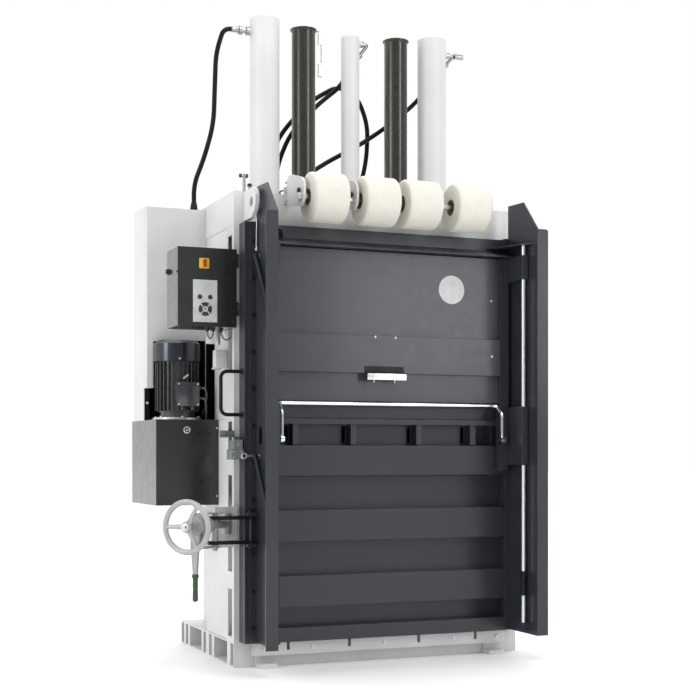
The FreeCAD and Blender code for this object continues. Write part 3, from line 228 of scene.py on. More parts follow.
@dataclass(frozen=True)
class Finish:
    """What every finish has."""

    name: str
    colour: Colour


@dataclass(frozen=True)
class Paint(Finish):
    """Powder coat with orange peel, slightly uneven sheets and rubbed edges."""

    rubbed: Colour
    roughness: float
    wear: float
    edge: float = 0.0025
    coat: float = 0.0
    grazing: float = 0.5
    peel: float = 0.12
    waves: float = 0.1

    def material(self) -> bpy.types.Material:
        """Build the finish.

        Returns:
            Its material.
        """
        graph = Graph(self.name)
        cloud = graph.spread(graph.noise(2.6, 4), 0, 1)
        colour = graph.blend(cloud, shade(self.colour, 0.93), shade(self.colour, 1.05))
        streak = graph.spread(graph.noise(5, 5, (2.4, 2.4, 0.35), 0.65), 0, 0.22, 0.52, 0.8)
        colour = graph.blend(streak, colour, shade(self.colour, 0.78))
        normal = graph.rounded(self.edge)
        colour = graph.blend(graph.edges(normal, self.wear), colour, self.rubbed)
        normal = graph.relief(graph.noise(620, 2), 0.00016, self.peel, normal)
        normal = graph.relief(graph.noise(7, 1), 0.004, self.waves, normal)
        gloss = graph.spread(graph.noise(22, 5), self.roughness - 0.06, self.roughness + 0.08)
        return graph.wear_in(Base_Color=colour, Roughness=gloss, Normal=normal,
                             Coat_Weight=self.coat, Coat_Roughness=0.16,
                             Specular_IOR_Level=self.grazing)


@dataclass(frozen=True)
class Metal(Finish):
    """Bare, plated or polished metal with drawn lines and cloudy sheen."""

    roughness: float
    lines: Point = (1, 1, 1)
    line_scale: float = 160.0
    line_depth: float = 0.12
    cloud: float = 0.25
    tint: Colour = (0.55, 0.53, 0.48)
    edge: float = 0.0012

    def material(self) -> bpy.types.Material:
        """Build the finish.

        Returns:
            Its material.
        """
        graph = Graph(self.name)
        patches = graph.spread(graph.noise(30, 4), 0, self.cloud, 0.4, 0.75)
        colour = graph.blend(patches, self.colour, self.tint)
        drawn = graph.noise(self.line_scale, 3, self.lines)
        normal = graph.relief(drawn, 0.0002, self.line_depth, graph.rounded(self.edge))
        gloss = graph.spread(graph.noise(60, 4), self.roughness * 0.8, self.roughness * 1.3)
        return graph.wear_in(Base_Color=colour, Roughness=gloss, Normal=normal, Metallic=1)


@dataclass(frozen=True)
class Cast(Finish):
    """Enamelled casting: a coarse skin under thin paint."""

    roughness: float
    metallic: float
    grain: float = 0.35
    edge: float = 0.003

    def material(self) -> bpy.types.Material:
        """Build the finish.

        Returns:
            Its material.
        """
        graph = Graph(self.name)
        cloud = graph.spread(graph.noise(14, 5), 0, 1)
        colour = graph.blend(cloud, shade(self.colour, 0.86), shade(self.colour, 1.06))
        skin = graph.noise(330, 4)
        pits = graph.spread(graph.noise(150, 2), 0, 1, 0.3, 0.5)
        normal = graph.relief(skin, 0.0006, self.grain, graph.rounded(self.edge))
        normal = graph.relief(pits, 0.0004, 0.15, normal)
        gloss = graph.spread(skin, self.roughness - 0.08, self.roughness + 0.1)
        return graph.wear_in(Base_Color=colour, Roughness=gloss, Normal=normal,
                             Metallic=self.metallic)


@dataclass(frozen=True)
class Moulded(Finish):
    """Moulded plastic or rubber with a fine grain, and braid lines where it has a wave scale."""

    roughness: float
    grain_scale: float = 900.0
    grain: float = 0.2
    grazing: float = 0.5
    edge: float = 0.0012
    wave_scale: float = 0.0

    def material(self) -> bpy.types.Material:
        """Build the finish.

        Returns:
            Its material.
        """
        graph = Graph(self.name)
        cloud = graph.spread(graph.noise(26, 4), 0, 1)
        colour = graph.blend(cloud, shade(self.colour, 0.88), shade(self.colour, 1.1))
        normal = graph.relief(graph.noise(self.grain_scale, 2), 0.0002, self.grain,
                              graph.rounded(self.edge))
        if self.wave_scale:
            for stretch in ((1, 0.4, 1), (1, 0.4, -1)):
                where = graph.add("Mapping", {"Vector": graph.place, "Scale": stretch})
                ribs = graph.add("TexWave", {"Vector": where.outputs["Vector"],
                                             "Scale": self.wave_scale, "Distortion": 0.4},
                                 bands_direction="DIAGONAL")
                normal = graph.relief(ribs.outputs["Fac"], 0.0006, 0.3, normal)
        gloss = graph.spread(graph.noise(70, 4), self.roughness - 0.07, self.roughness + 0.1)
        return graph.wear_in(Base_Color=colour, Roughness=gloss, Normal=normal,
                             Specular_IOR_Level=self.grazing)


@dataclass(frozen=True)
class Wound(Finish):
    """Woven band wound on a reel, seen as turns on its face and rows across it, with painted shade
    in the grooves between the rows.
    """

    # Colour in the grooves between the rows, darker than the band: painted shade.
    between: Colour
    turns: float = 21.0
    rows: float = 34.0

    def material(self) -> bpy.types.Material:
        """Build the finish.

        Returns:
            Its material.
        """
        graph = Graph(self.name)
        warp = graph.add("TexWave", {"Vector": graph.place, "Scale": self.turns,
                                     "Distortion": 0.6, "Detail": 2},
                         wave_type="RINGS", rings_direction="X").outputs["Fac"]
        weft = graph.add("TexWave", {"Vector": graph.place, "Scale": self.rows, "Distortion": 0.8,
                                     "Detail": 3, "Detail Scale": 2},
                         bands_direction="X").outputs["Fac"]
        threads = graph.noise(500, 2, (1, 0.25, 0.25))
        # The colour is darker where the rows' relief is low: painted shade in the grooves.
        lines = graph.spread(weft, 0, 1, 0.05, 0.35)
        colour = graph.blend(lines, self.between, self.colour)
        cloud = graph.spread(graph.noise(18, 4), 0, 0.5)
        colour = graph.blend(cloud, colour, shade(self.colour, 0.86))
        normal = graph.relief(lines, 0.0012, 0.5)
        normal = graph.relief(warp, 0.0006, 0.35, normal)
        normal = graph.relief(threads, 0.0004, 0.35, normal)
        return graph.wear_in(Base_Color=colour, Roughness=graph.spread(threads, 0.5, 0.75),
                             Normal=normal, Sheen_Weight=0.3)


class Look(Enum):
    """Every finish of the machine."""

    CHASSIS = Paint("chassis_paint", (0.63, 0.635, 0.63), (0.5, 0.51, 0.5), 0.42, 0.15)
    DOOR = Paint("door_paint", (0.029, 0.033, 0.041), (0.15, 0.155, 0.16), 0.34, 0.45,
                 coat=0.22, grazing=0.3)
    # The flap's paint is a lighter copy of the door's paint. The extra lightness is painted sheen,
    # standing in for the sheen that the front lights give the flap.
    FLAP = Paint("flap_paint_painted_sheen", (0.038, 0.043, 0.053), (0.16, 0.165, 0.17), 0.33, 0.3,
                 coat=0.35, grazing=0.35)
    UNIT = Paint("unit_paint", (0.013, 0.014, 0.016), (0.13, 0.135, 0.14), 0.3, 0.35,
                 coat=0.75, grazing=0.3)
    MOTOR = Paint("motor_paint", (0.04, 0.042, 0.048), (0.24, 0.24, 0.25), 0.24, 0.3, 0.0012, 0.8)
    COLUMN = Paint("column_coat", (0.02, 0.019, 0.013), (0.08, 0.075, 0.055), 0.26, 0.1, coat=0.3)
    BLACK = Paint("black_steel", (0.009, 0.009, 0.01), (0.06, 0.06, 0.06), 0.34, 0.3, 0.0015,
                  grazing=0.25)
    # Near-black sheets put in the motor's niche, in the gap beside it and over a cut-out. They are
    # painted shade, standing for the deep shade there.
    SHADE_LINING = Paint("niche_shade_lining", (0.006, 0.006, 0.007), (0.02, 0.02, 0.02), 0.55, 0.1,
                   grazing=0.2)
    COWL = Metal("cowl_sheet", (0.08, 0.086, 0.1), 0.17, (1, 1, 0.1), 300, 0.03, 0.1,
                 (0.085, 0.09, 0.105))
    CHROME = Metal("chrome", (0.86, 0.87, 0.88), 0.1, (1, 1, 0.05), 400, 0.03, 0.1)
    SATIN = Metal("satin_rod", (0.88, 0.885, 0.89), 0.38, (1, 1, 0.05), 400, 0.03, 0.1)
    FITTING = Metal("fitting_steel", (0.36, 0.365, 0.37), 0.26)
    ZINC = Metal("zinc_plate", (0.66, 0.67, 0.68), 0.32)
    BRUSHED = Metal("brushed_aluminium", (0.84, 0.84, 0.83), 0.3, (0.03, 1, 1), 900, 0.25)
    CAST = Cast("silver_enamel", (0.4, 0.405, 0.4), 0.4, 0.3)
    SWITCH = Cast("switch_housing", (0.21, 0.23, 0.22), 0.5, 0.1, 0.25, 0.0015)
    RUBBER = Moulded("moulded_rubber", (0.008, 0.008, 0.009), 0.6, grazing=0.25)
    HOSE = Moulded("hose_cover", (0.006, 0.006, 0.007), 0.42, 700, 0.25, 0.16, 0.001, 55)
    BLACK_PLASTIC = Moulded("black_plastic", (0.014, 0.014, 0.016), 0.38)
    CABLE = Moulded("grey_cable", (0.2, 0.2, 0.2), 0.5, 600, 0.15)
    GREEN = Moulded("green_grip", (0.028, 0.055, 0.026), 0.42, 500, 0.3)
    RED = Moulded("red_knob", (0.3, 0.03, 0.012), 0.28, grain=0.08)
    YELLOW = Moulded("yellow_plate", (0.7, 0.44, 0.02), 0.35, grain=0.08)
    FILM = Moulded("key_film", (0.5, 0.51, 0.52), 0.34, 1200, 0.1)
    KEYS = Moulded("dark_keys", (0.025, 0.028, 0.034), 0.3, 1200, 0.1)
    STICKER = Moulded("plain_disc", (0.5, 0.48, 0.49), 0.3, grain=0.06)
    NYLON = Moulded("white_nylon", (0.62, 0.62, 0.6), 0.4, grain=0.1)
    CARD = Moulded("card_core", (0.2, 0.175, 0.065), 0.8, 300, 0.5)
    BAND = Wound("cream_band", (0.72, 0.7, 0.63), (0.62, 0.59, 0.51))


# The solids that are shown as they are, by finish.
SOLIDS: dict[Look, tuple[str, ...]] = {
    Look.CHASSIS: ("base_frame", "front_sill", "side_wall_left", "side_wall_right", "rear_wall",
                   "front_column_left", "front_column_right", "press_head", "cylinder_left",
                   "cylinder_centre", "cylinder_right", "rear_cabinet", "spool_brackets"),
    Look.DOOR: ("door_frame", "door_panel", "crossbar", "wing_left", "wing_right",
                "flap_carriage_left", "flap_carriage_right", "press_platen"),
    Look.FLAP: ("loading_flap",),
    Look.UNIT: ("pump_unit", "control_box", "control_lid"),
    Look.MOTOR: ("motor_body", "terminal_box"),
    Look.COWL: ("fan_cowl",),
    Look.SWITCH: ("safety_switch",),
    Look.COLUMN: ("guide_column_left", "guide_column_right"),
    Look.BLACK: ("lock_arms", "wing_stays", "door_handle"),
    Look.CHROME: ("bail_bar", "piston_rods"),
    Look.SATIN: ("guide_rods",),
    Look.FITTING: ("hose_fittings",),
    Look.ZINC: ("spool_spindle", "hinge_pins", "lanyard", "eyebolt_link", "switch_cam"),
    Look.CAST: ("lock_housing",),
    Look.RUBBER: ("rod_buffers",),
    Look.HOSE: ("hose_left", "hose_centre", "hose_arch", "hose_right"),
    Look.BLACK_PLASTIC: ("motor_fan",),
    Look.FILM: ("key_panel",),
}


@cache
def coat(look: Look) -> bpy.types.Material:
    """Build the material of a finish when it is first asked for."""
    return look.value.material()


def dress(nodes: dict[str, bpy.types.Object]) -> None:
    """Give every solid that is shown as it is its finish.

    Args:
        nodes: The solids by name.
    """
    for look, names in SOLIDS.items():
        for name in names:
            slots = nodes[name].data.materials
            slots.clear()
            slots.append(coat(look))
            REPORT.info("%s: dressed as %s", name, look.value.name)


# ------------------------------------------------------------------ mesh work

def turns(steps: int, start: float = 0) -> Section:
    """Give the cosine and sine of even steps round a circle.

    Args:
        steps: Number of steps.
        start: First angle, in radians.

    Returns:
        Pairs of cosine and sine.
    """
    angles = [start + step * math.tau / steps for step in range(steps)]
    return [(math.cos(angle), math.sin(angle)) for angle in angles]


def smooth_line(points: list[Vector]) -> list[Vector]:
    """Give a smooth line through points.

    Args:
        points: The points, in order.

    Returns:
        The points of the line.
    """
    if len(points) < 3:
        return points
    steps = 8
    ends = [points[0] * 2 - points[1]] + points + [points[-1] * 2 - points[-2]]
    line = []
    for one, two, three, four in zip(ends, ends[1:], ends[2:], ends[3:]):
        for step in range(steps):
            share = step / steps
            line.append(0.5 * (two * 2 + (three - one) * share
                               + (one * 2 - two * 5 + three * 4 - four) * share ** 2
                               + (two * 3 - one - three * 3 + four) * share ** 3))
    return line + [points[-1]]


def stand(name: str, data: bpy.types.ID, place: Point = (0, 0, 0)) -> bpy.types.Object:
    """Put a new object into the scene.

    Args:
        name: Its name.
        data: Its mesh, lamp or camera.
        place: Its origin.

    Returns:
        The new object.
    """
    made = bpy.data.objects.new(name, data)
    made.location = place
    bpy.context.scene.collection.objects.link(made)
    return made


class Shape:
    """A mesh that is being built, in metres."""

    def __init__(self) -> None:
        """Start with no faces."""
        self.mesh = bmesh.new()

    def block(self, low: Point, high: Point, soft: float = 0) -> "Shape":
        """Add a block with rounded edges.

        Args:
            low: Lowest corner.
            high: Highest corner.
            soft: Width of the rounded edges.

        Returns:
            This shape.
        """
        low, high = Vector(low), Vector(high)
        corners = bmesh.ops.create_cube(self.mesh, size=1)["verts"]
        bmesh.ops.scale(self.mesh, vec=high - low, verts=corners)
        bmesh.ops.translate(self.mesh, vec=(low + high) / 2, verts=corners)
        if soft:
            edges = list({edge for corner in corners for edge in corner.link_edges})
            bmesh.ops.bevel(self.mesh, geom=edges, offset=soft, segments=2, profile=0.6,
                            affect="EDGES")
        return self

    def turned(self, start: Point, way: Point, profile: Section, steps: int = 32,
               turn: float = 0) -> "Shape":
        """Add a turned form, or a prism where the steps are few.

        Args:
            start: Where the profile's first value is 0.
            way: Direction of its axis.
            profile: Pairs of distance along the axis and radius, which is 0 for a single point.
            steps: Sides of the round.
            turn: Angle of the first side, in radians.

        Returns:
            This shape.
        """
        axis = Vector(way).normalized()
        across = axis.orthogonal().normalized()
        other = axis.cross(across)
        rings = []
        for reach, radius in profile:
            centre = Vector(start) + axis * reach
            rings.append([self.mesh.verts.new(centre + (across * cos + other * sin) * radius)
                          for cos, sin in turns(steps if radius else 1, turn)])
        for near, far in zip(rings, rings[1:]):
            self._join(near, far)
        return self

    def _join(self, near: list[bmesh.types.BMVert], far: list[bmesh.types.BMVert]) -> None:
        """Join two rings with faces.

        Args:
            near: Points of one ring, or its middle alone.
            far: Points of the next ring, or its middle alone.
        """
        steps = max(len(near), len(far))
        if steps == 1:
            return
        for step in range(steps):
            after = (step + 1) % steps
            corners = (near[step % len(near)], far[step % len(far)], far[after % len(far)],
                       near[after % len(near)])
            self.mesh.faces.new(tuple(dict.fromkeys(corners)))

    def loft(self, rings: list[list[bmesh.types.BMVert]]) -> "Shape":
        """Join rings of points one after another and close both ends.

        Args:
            rings: Rings with the same number of points.

        Returns:
            This shape.
        """
        for near, far in zip(rings, rings[1:]):
            self._join(near, far)
        self.mesh.faces.new(rings[0])
        self.mesh.faces.new(rings[-1])
        return self

    def bolt(self, seat: Point, way: Point, across: float, washer: bool = True) -> "Shape":
        """Add a hexagon head.

        Args:
            seat: Middle of the seat.
            way: Direction that the head points in.
            across: Width over the corners.
            washer: Whether a washer lies under it.

        Returns:
            This shape.
        """
        radius = across / 2
        rise = radius * 0.22 if washer else 0
        if washer:
            self.turned(seat, way, [(0, 0), (0, radius * 1.25), (rise * 0.8, radius * 1.25),
                                    (rise, radius * 1.18), (rise, 0)], 24)
        top = rise + radius * 0.75
        return self.turned(seat, way, [(rise, radius), (top - radius * 0.12, radius),
                                       (top, radius * 0.84), (top, 0)], 6, 0.35)

    def screw(self, seat: Point, way: Point, radius: float) -> "Shape":
        """Add a domed screw with a socket in its head.

        Args:
            seat: Middle of the seat.
            way: Direction that the head points in.
            radius: Radius of the head.

        Returns:
            This shape.
        """
        section = ((0, 1), (0.35, 0.95), (0.62, 0.62), (0.66, 0.42), (0.25, 0.38), (0.25, 0))
        return self.turned(seat, way, [(radius * reach, radius * out) for reach, out in section],
                           18)

    def screws(self, columns: tuple[float, ...], depth: float, rises: tuple[float, ...],
               radius: float, way: Point = FRONT) -> "Shape":
        """Add a screw in each of some columns at each of some heights.

        Args:
            columns: Places from left to right.
            depth: Place of the face that they sit on, from front to rear.
            rises: Their heights.
            radius: Radius of the heads.
            way: Direction that the heads point in.

        Returns:
            This shape.
        """
        for across in columns:
            for rise in rises:
                self.screw((across, depth, rise), way, radius)
        return self

    def prism(self, loop: list[Point], reach: Point) -> "Shape":
        """Add the solid that a flat loop leaves as it moves.

        Args:
            loop: Corners in order.
            reach: The way that it moves.

        Returns:
            This shape.
        """
        near = [self.mesh.verts.new(corner) for corner in loop]
        far = [self.mesh.verts.new(Vector(corner) + Vector(reach)) for corner in loop]
        return self.loft([near, far])

    def tube(self, points: list[Point], radius: float) -> "Shape":
        """Add a round bar or cable along a smooth line through the points.

        Args:
            points: Points that the line passes.
            radius: Radius of the bar.

        Returns:
            This shape.
        """
        line = smooth_line([Vector(point) for point in points])
        across = (line[1] - line[0]).orthogonal().normalized()
        rings = []
        for before, here, after in zip(line[:1] + line, line, line[1:] + line[-1:]):
            way = (after - before).normalized()
            across = (across - way * across.dot(way)).normalized()
            other = way.cross(across)
            rings.append([self.mesh.verts.new(here + (across * cos + other * sin) * radius)
                          for cos, sin in turns(12)])
        return self.loft(rings)

    def ring(self, start: Point, way: Point, profile: Section, steps: int = 40) -> "Shape":
        """Add a turned form with a hole, from a closed outline of its section.

        Args:
            start: Where the outline's first value is 0.
            way: Direction of its axis.
            profile: Pairs of distance along the axis and radius.
            steps: Sides of the round.

        Returns:
            This shape.
        """
        return self.turned(start, way, profile + profile[:1], steps)

    def plate(self, seat: Point, half: float, thick: float, hole: float) -> "Shape":
        """Add a square plate that faces the front, with soft corners and a round hole.

        Args:
            seat: Middle of its rear face.
            half: Half of its width.
            thick: Its thickness.
            hole: Radius of the hole.

        Returns:
            This shape.
        """
        sharpness = 10
        loops = []
        for depth, size in ((0, 1), (0.85, 1), (1, 0.975), (1, 0), (0, 0)):
            loop = []
            for across, rise in turns(48):
                square = (abs(across) ** sharpness + abs(rise) ** sharpness) ** (-1 / sharpness)
                reach = half * size * square if size else hole
                loop.append(self.mesh.verts.new((seat[0] + across * reach, seat[1] - thick * depth,
                                                 seat[2] + rise * reach)))
            loops.append(loop)
        for near, far in zip(loops, loops[1:] + loops[:1]):
            self._join(near, far)
        return self

    def bead(self, start: Point, end: Point, radius: float) -> "Shape":
        """Add a weld bead with its ripples along a straight corner.

        Args:
            start: One end of the corner.
            end: The other end.
            radius: Radius of the bead.

        Returns:
            This shape.
        """
        way = Vector(end) - Vector(start)
        pitch = 0.007
        count = int(way.length / pitch)
        profile = [(0, 0)]
        for step in range(count):
            reach = way.length * (step + 0.5) / count
            half = way.length * 0.25 / count
            profile += [(reach - half, radius), (reach + half, radius * 0.8)]
        return self.turned(start, tuple(way), profile + [(way.length, 0)], 8)

    def piece(self, name: str, look: Look, slot: str, body: Body = Body.FRAME, replaces: str = "",
              centre: Point = (0, 0, 0), sharp: float = 32) -> None:
        """Finish the mesh as a piece that rides on a body.

        Args:
            name: Its name.
            look: Its finish.
            slot: The record's slot that its finish belongs to; not used.
            body: The body that it rides on.
            replaces: The solid that it is shown in place of, if any.
            centre: Its own origin, in metres.
            sharp: Angle above which an edge stays sharp, in degrees.
        """
        bmesh.ops.remove_doubles(self.mesh, verts=self.mesh.verts, dist=1e-6)
        bmesh.ops.recalc_face_normals(self.mesh, faces=self.mesh.faces)
        bmesh.ops.translate(self.mesh, vec=-Vector(centre), verts=self.mesh.verts)
        data = bpy.data.meshes.new(name)
        self.mesh.to_mesh(data)
        self.mesh.free()
        data.shade_smooth()
        data.set_sharp_from_angle(angle=math.radians(sharp))
        data.materials.append(coat(look))
        made = stand(name, data, centre)
        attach(made, body.value)
        if replaces:
            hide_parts(replaces)
        REPORT.info("%s: %d faces", name, len(data.polygons))


# ------------------------------------------------------------------ sub-assemblies

@dataclass
class Reels:
    """Four reels of strapping on card cores, and the clamp knobs of their spindle."""

    centres: tuple[float, ...] = (-0.344, -0.102, 0.102, 0.344)
    depth: float = -0.62
    height: float = 2.05
    radius: float = 0.108
    half: float = 0.08
    bore: float = 0.0362
    soft: float = 0.013
    ridges: int = 14
    rows: int = 22
    groove: float = 0.0006
    plates: tuple[float, ...] = (-0.458, -0.211, 0.211, 0.458)
    clamp_rise: float = 0.026

    def section(self) -> Section:
        """Give a wound band's section line, ridged on its faces and grooved round its outside.

        Returns:
            Pairs of place along the axis and radius, from the bore's left end to its right end.
        """
        rise = (self.radius - self.soft - self.bore) / self.ridges
        reach = self.half - self.soft
        left = []
        for ridge in range(self.ridges):
            low = self.bore + ridge * rise
            left += [(0.0007 - self.half, low), (-self.half, low + rise * 0.55)]
        for cos, sin in turns(24)[:7]:
            left.append((-reach - self.soft * cos, self.radius - self.soft + self.soft * sin))
        rows = [(reach * (2 * row / self.rows - 1), self.radius - row % 2 * self.groove)
                for row in range(1, self.rows)]
        return left + rows + [(-place, radius) for place, radius in left[::-1]]

    def reel(self, number: int) -> None:
        """Build one reel's band and its core.

        Args:
            number: Which reel, from 1.
        """
        body, solid = Body(f"reel_{number}"), f"strap_reel_{number}"
        seat = (self.centres[number - 1], self.depth, self.height)
        Shape().ring(seat, RIGHT, self.section(), 96).piece(
            f"band_{number}", Look.BAND, "strap_band", body, solid, seat, 50)
        lip = self.half + 0.001
        core = [(-lip, self.bore), (lip, self.bore), (lip, 0.0315), (0.052, 0.0305),
                (0.052, 0.0127), (-0.052, 0.0127), (-0.052, 0.0305), (-lip, 0.0315)]
        Shape().ring(seat, RIGHT, core, 48).piece(
            f"core_{number}", Look.CARD, "strap_band", body, solid, seat)

    def build(self) -> None:
        """Build the reels, the clamp knobs and the bracket bolts."""
        for number in range(1, len(self.centres) + 1):
            self.reel(number)
        knobs, bolts = Shape(), Shape()
        for plate in self.plates:
            knobs.turned((plate - 0.005, self.depth, self.height + self.clamp_rise), LEFT,
                         [(0, 0), (0, 0.011), (0.003, 0.0125), (0.007, 0.012), (0.01, 0.007),
                          (0.011, 0)], 20)
            for rise in (2.06, 2.104):
                bolts.bolt((plate - 0.004, -0.443, rise), FRONT, 0.011)
        knobs.piece("reel_clamps", Look.BLACK_PLASTIC, "frame_paint")
        bolts.piece("bracket_bolts", Look.ZINC, "bare_steel")


@dataclass
class LockGear:
    """The lock's lever with its grip, the handwheel, the bent yoke sheet, the seal and the bolts."""

    nose: Point = (-0.745, -0.47, 0.635)
    way: Point = (-0.7431, -0.6691, 0)
    side: Point = (0.6691, -0.7431, 0)
    lever_reach: float = 0.252
    ring: float = 0.0385
    tube: float = 0.0273
    arm_low: float = -0.207
    hub_reach: float = 0.334
    wheel_reach: float = 0.318
    wheel_radius: float = 0.104
    pin: tuple[float, float] = (-0.655, -0.535)

    def spot(self, reach: float, across: float = 0, rise: float = 0) -> Point:
        """Give a place on the lock.

        Args:
            reach: Distance out along its spindle.
            across: Distance to its side.
            rise: Height above the spindle.

        Returns:
            The place.
        """
        return tuple(Vector(self.nose) + Vector(self.way) * reach + Vector(self.side) * across
                     + Vector((0, 0, rise)))

    def lever(self) -> None:
        """Build the lever and its grip."""
        half, rim = 0.013, 0.002
        bar = Shape().ring(self.spot(self.lever_reach), self.way,
                           [(-half, self.tube), (-half, self.ring - rim), (rim - half, self.ring),
                            (half - rim, self.ring), (half, self.ring - rim), (half, self.tube)],
                           48)
        corners = ((-0.031, -0.019), (-0.022, -0.034), (-0.009, self.arm_low),
                   (0.009, self.arm_low), (0.022, -0.034), (0.031, -0.019), (0, -0.029))
        bar.prism([self.spot(self.lever_reach - 0.006, *corner) for corner in corners],
                  tuple(Vector(self.way) * 0.012))
        bar.screw(self.spot(self.lever_reach + 0.006, 0, -0.062), self.way, 0.0055)
        bar.piece("lever_bar", Look.CAST, "lock_cast", Body.LEVER, "release_lever")
        grip = Shape().turned(self.spot(self.lever_reach, 0, -0.2), DOWN,
                              [(0, 0), (0, 0.0125), (0.004, 0.0145), (0.012, 0.0145),
                               (0.016, 0.0115), (0.03, 0.0106), (0.046, 0.0112), (0.062, 0.0104),
                               (0.08, 0.0112), (0.105, 0.0116), (0.112, 0.01), (0.115, 0.004),
                               (0.115, 0)])
        grip.piece("lever_grip", Look.GREEN, "grip_plastic", Body.LEVER, "release_lever")

    def wheel(self) -> None:
        """Build the handwheel: its spindle, its hub, three tapered spokes and the thick rim."""
        middle = self.spot(self.wheel_reach)
        wheel = Shape().ring(middle, self.way,
                             [(0.0105 * cos, self.wheel_radius + 0.012 * sin)
                              for cos, sin in turns(20)], 72)
        wheel.turned(self.nose, self.way,
                     [(0.081, 0), (0.081, 0.0118), (0.292, 0.0118), (0.294, 0.017), (0.296, 0.021),
                      (0.303, 0.024), (0.325, 0.024), (0.331, 0.022), (0.334, 0.018), (0.334, 0)],
                     36)
        for across, rise in turns(3, math.pi):
            self.spoke(wheel, across, rise)
        wheel.piece("wheel_body", Look.CAST, "lock_cast", Body.WHEEL, "handwheel", middle)

    def spoke(self, shape: Shape, across: float, rise: float) -> None:
        """Add one spoke, oval in section and narrower towards the rim.

        Args:
            shape: The shape that takes it.
            across: Sideways part of its direction.
            rise: Upward part of its direction.
        """
        out = Vector(self.side) * across + Vector((0, 0, rise))
        over = Vector(self.way).cross(out)
        rings = []
        for reach, wide, thick, lean in ((0.016, 0.015, 0.01, -0.004),
                                         (0.03, 0.0115, 0.0085, -0.003),
                                         (0.055, 0.0092, 0.0072, 0), (0.08, 0.0086, 0.0068, 0),
                                         (0.098, 0.0098, 0.0072, 0)):
            centre = Vector(self.spot(self.wheel_reach + lean)) + out * reach
            rings.append([shape.mesh.verts.new(centre + over * (wide * cos)
                                               + Vector(self.way) * (thick * sin))
                          for cos, sin in turns(16)])
        shape.loft(rings)

    def yoke(self) -> None:
        """Build the sheet that is bent round the lock's arms, and the seal before the drum."""
        sheet = Shape()
        for corners in (((0.085, 0.049), (0.232, 0.049), (0.232, 0.026), (0.236, 0.026),
                         (0.236, 0.053), (0.085, 0.053)),
                        ((0.095, -0.0905), (0.232, -0.0905), (0.232, -0.026), (0.236, -0.026),
                         (0.236, -0.0945), (0.095, -0.0945))):
            sheet.prism([self.spot(reach, -0.034, rise) for reach, rise in corners],
                        tuple(Vector(self.side) * 0.068))
        sheet.piece("lock_yoke", Look.CAST, "lock_cast", Body.LOCK)
        seal = Shape().ring(self.spot(0.152), self.way,
                            [(-0.004, 0.0185), (-0.004, 0.029), (-0.002, 0.0305),
                             (0.002, 0.0305), (0.004, 0.029), (0.004, 0.0185)])
        seal.piece("lock_seal", Look.RUBBER, "buffer_rubber", Body.LOCK)

    def bolts(self) -> None:
        """Build the bolts of the pivot, of the yoke and of the wheel's hub."""
        pivot = Shape().bolt((*self.pin, 0.6835), UP, 0.024)
        pivot.bolt((*self.pin, 0.5365), DOWN, 0.024)
        pivot.piece("lock_pivot_bolts", Look.BLACK, "black_steel", Body.DOOR)
        sheet = Shape()
        for reach in (0.15, 0.205):
            sheet.screw(self.spot(reach, 0, 0.053), UP, 0.0065)
        for across in (-0.02, 0.02):
            sheet.screw(self.spot(0.236, across, -0.075), self.way, 0.0055)
        sheet.piece("lock_yoke_screws", Look.ZINC, "bare_steel", Body.LOCK)
        hub = Shape().turned(self.spot(self.hub_reach), self.way,
                             [(0, 0), (0, 0.017), (0.002, 0.018), (0.0035, 0.017), (0.0035, 0)])
        hub.bolt(self.spot(self.hub_reach + 0.0035), self.way, 0.022, False)
        hub.piece("wheel_nut", Look.ZINC, "bare_steel", Body.WHEEL)

    def build(self) -> None:
        """Build every piece of the lock."""
        self.lever()
        self.wheel()
        self.yoke()
        self.bolts()


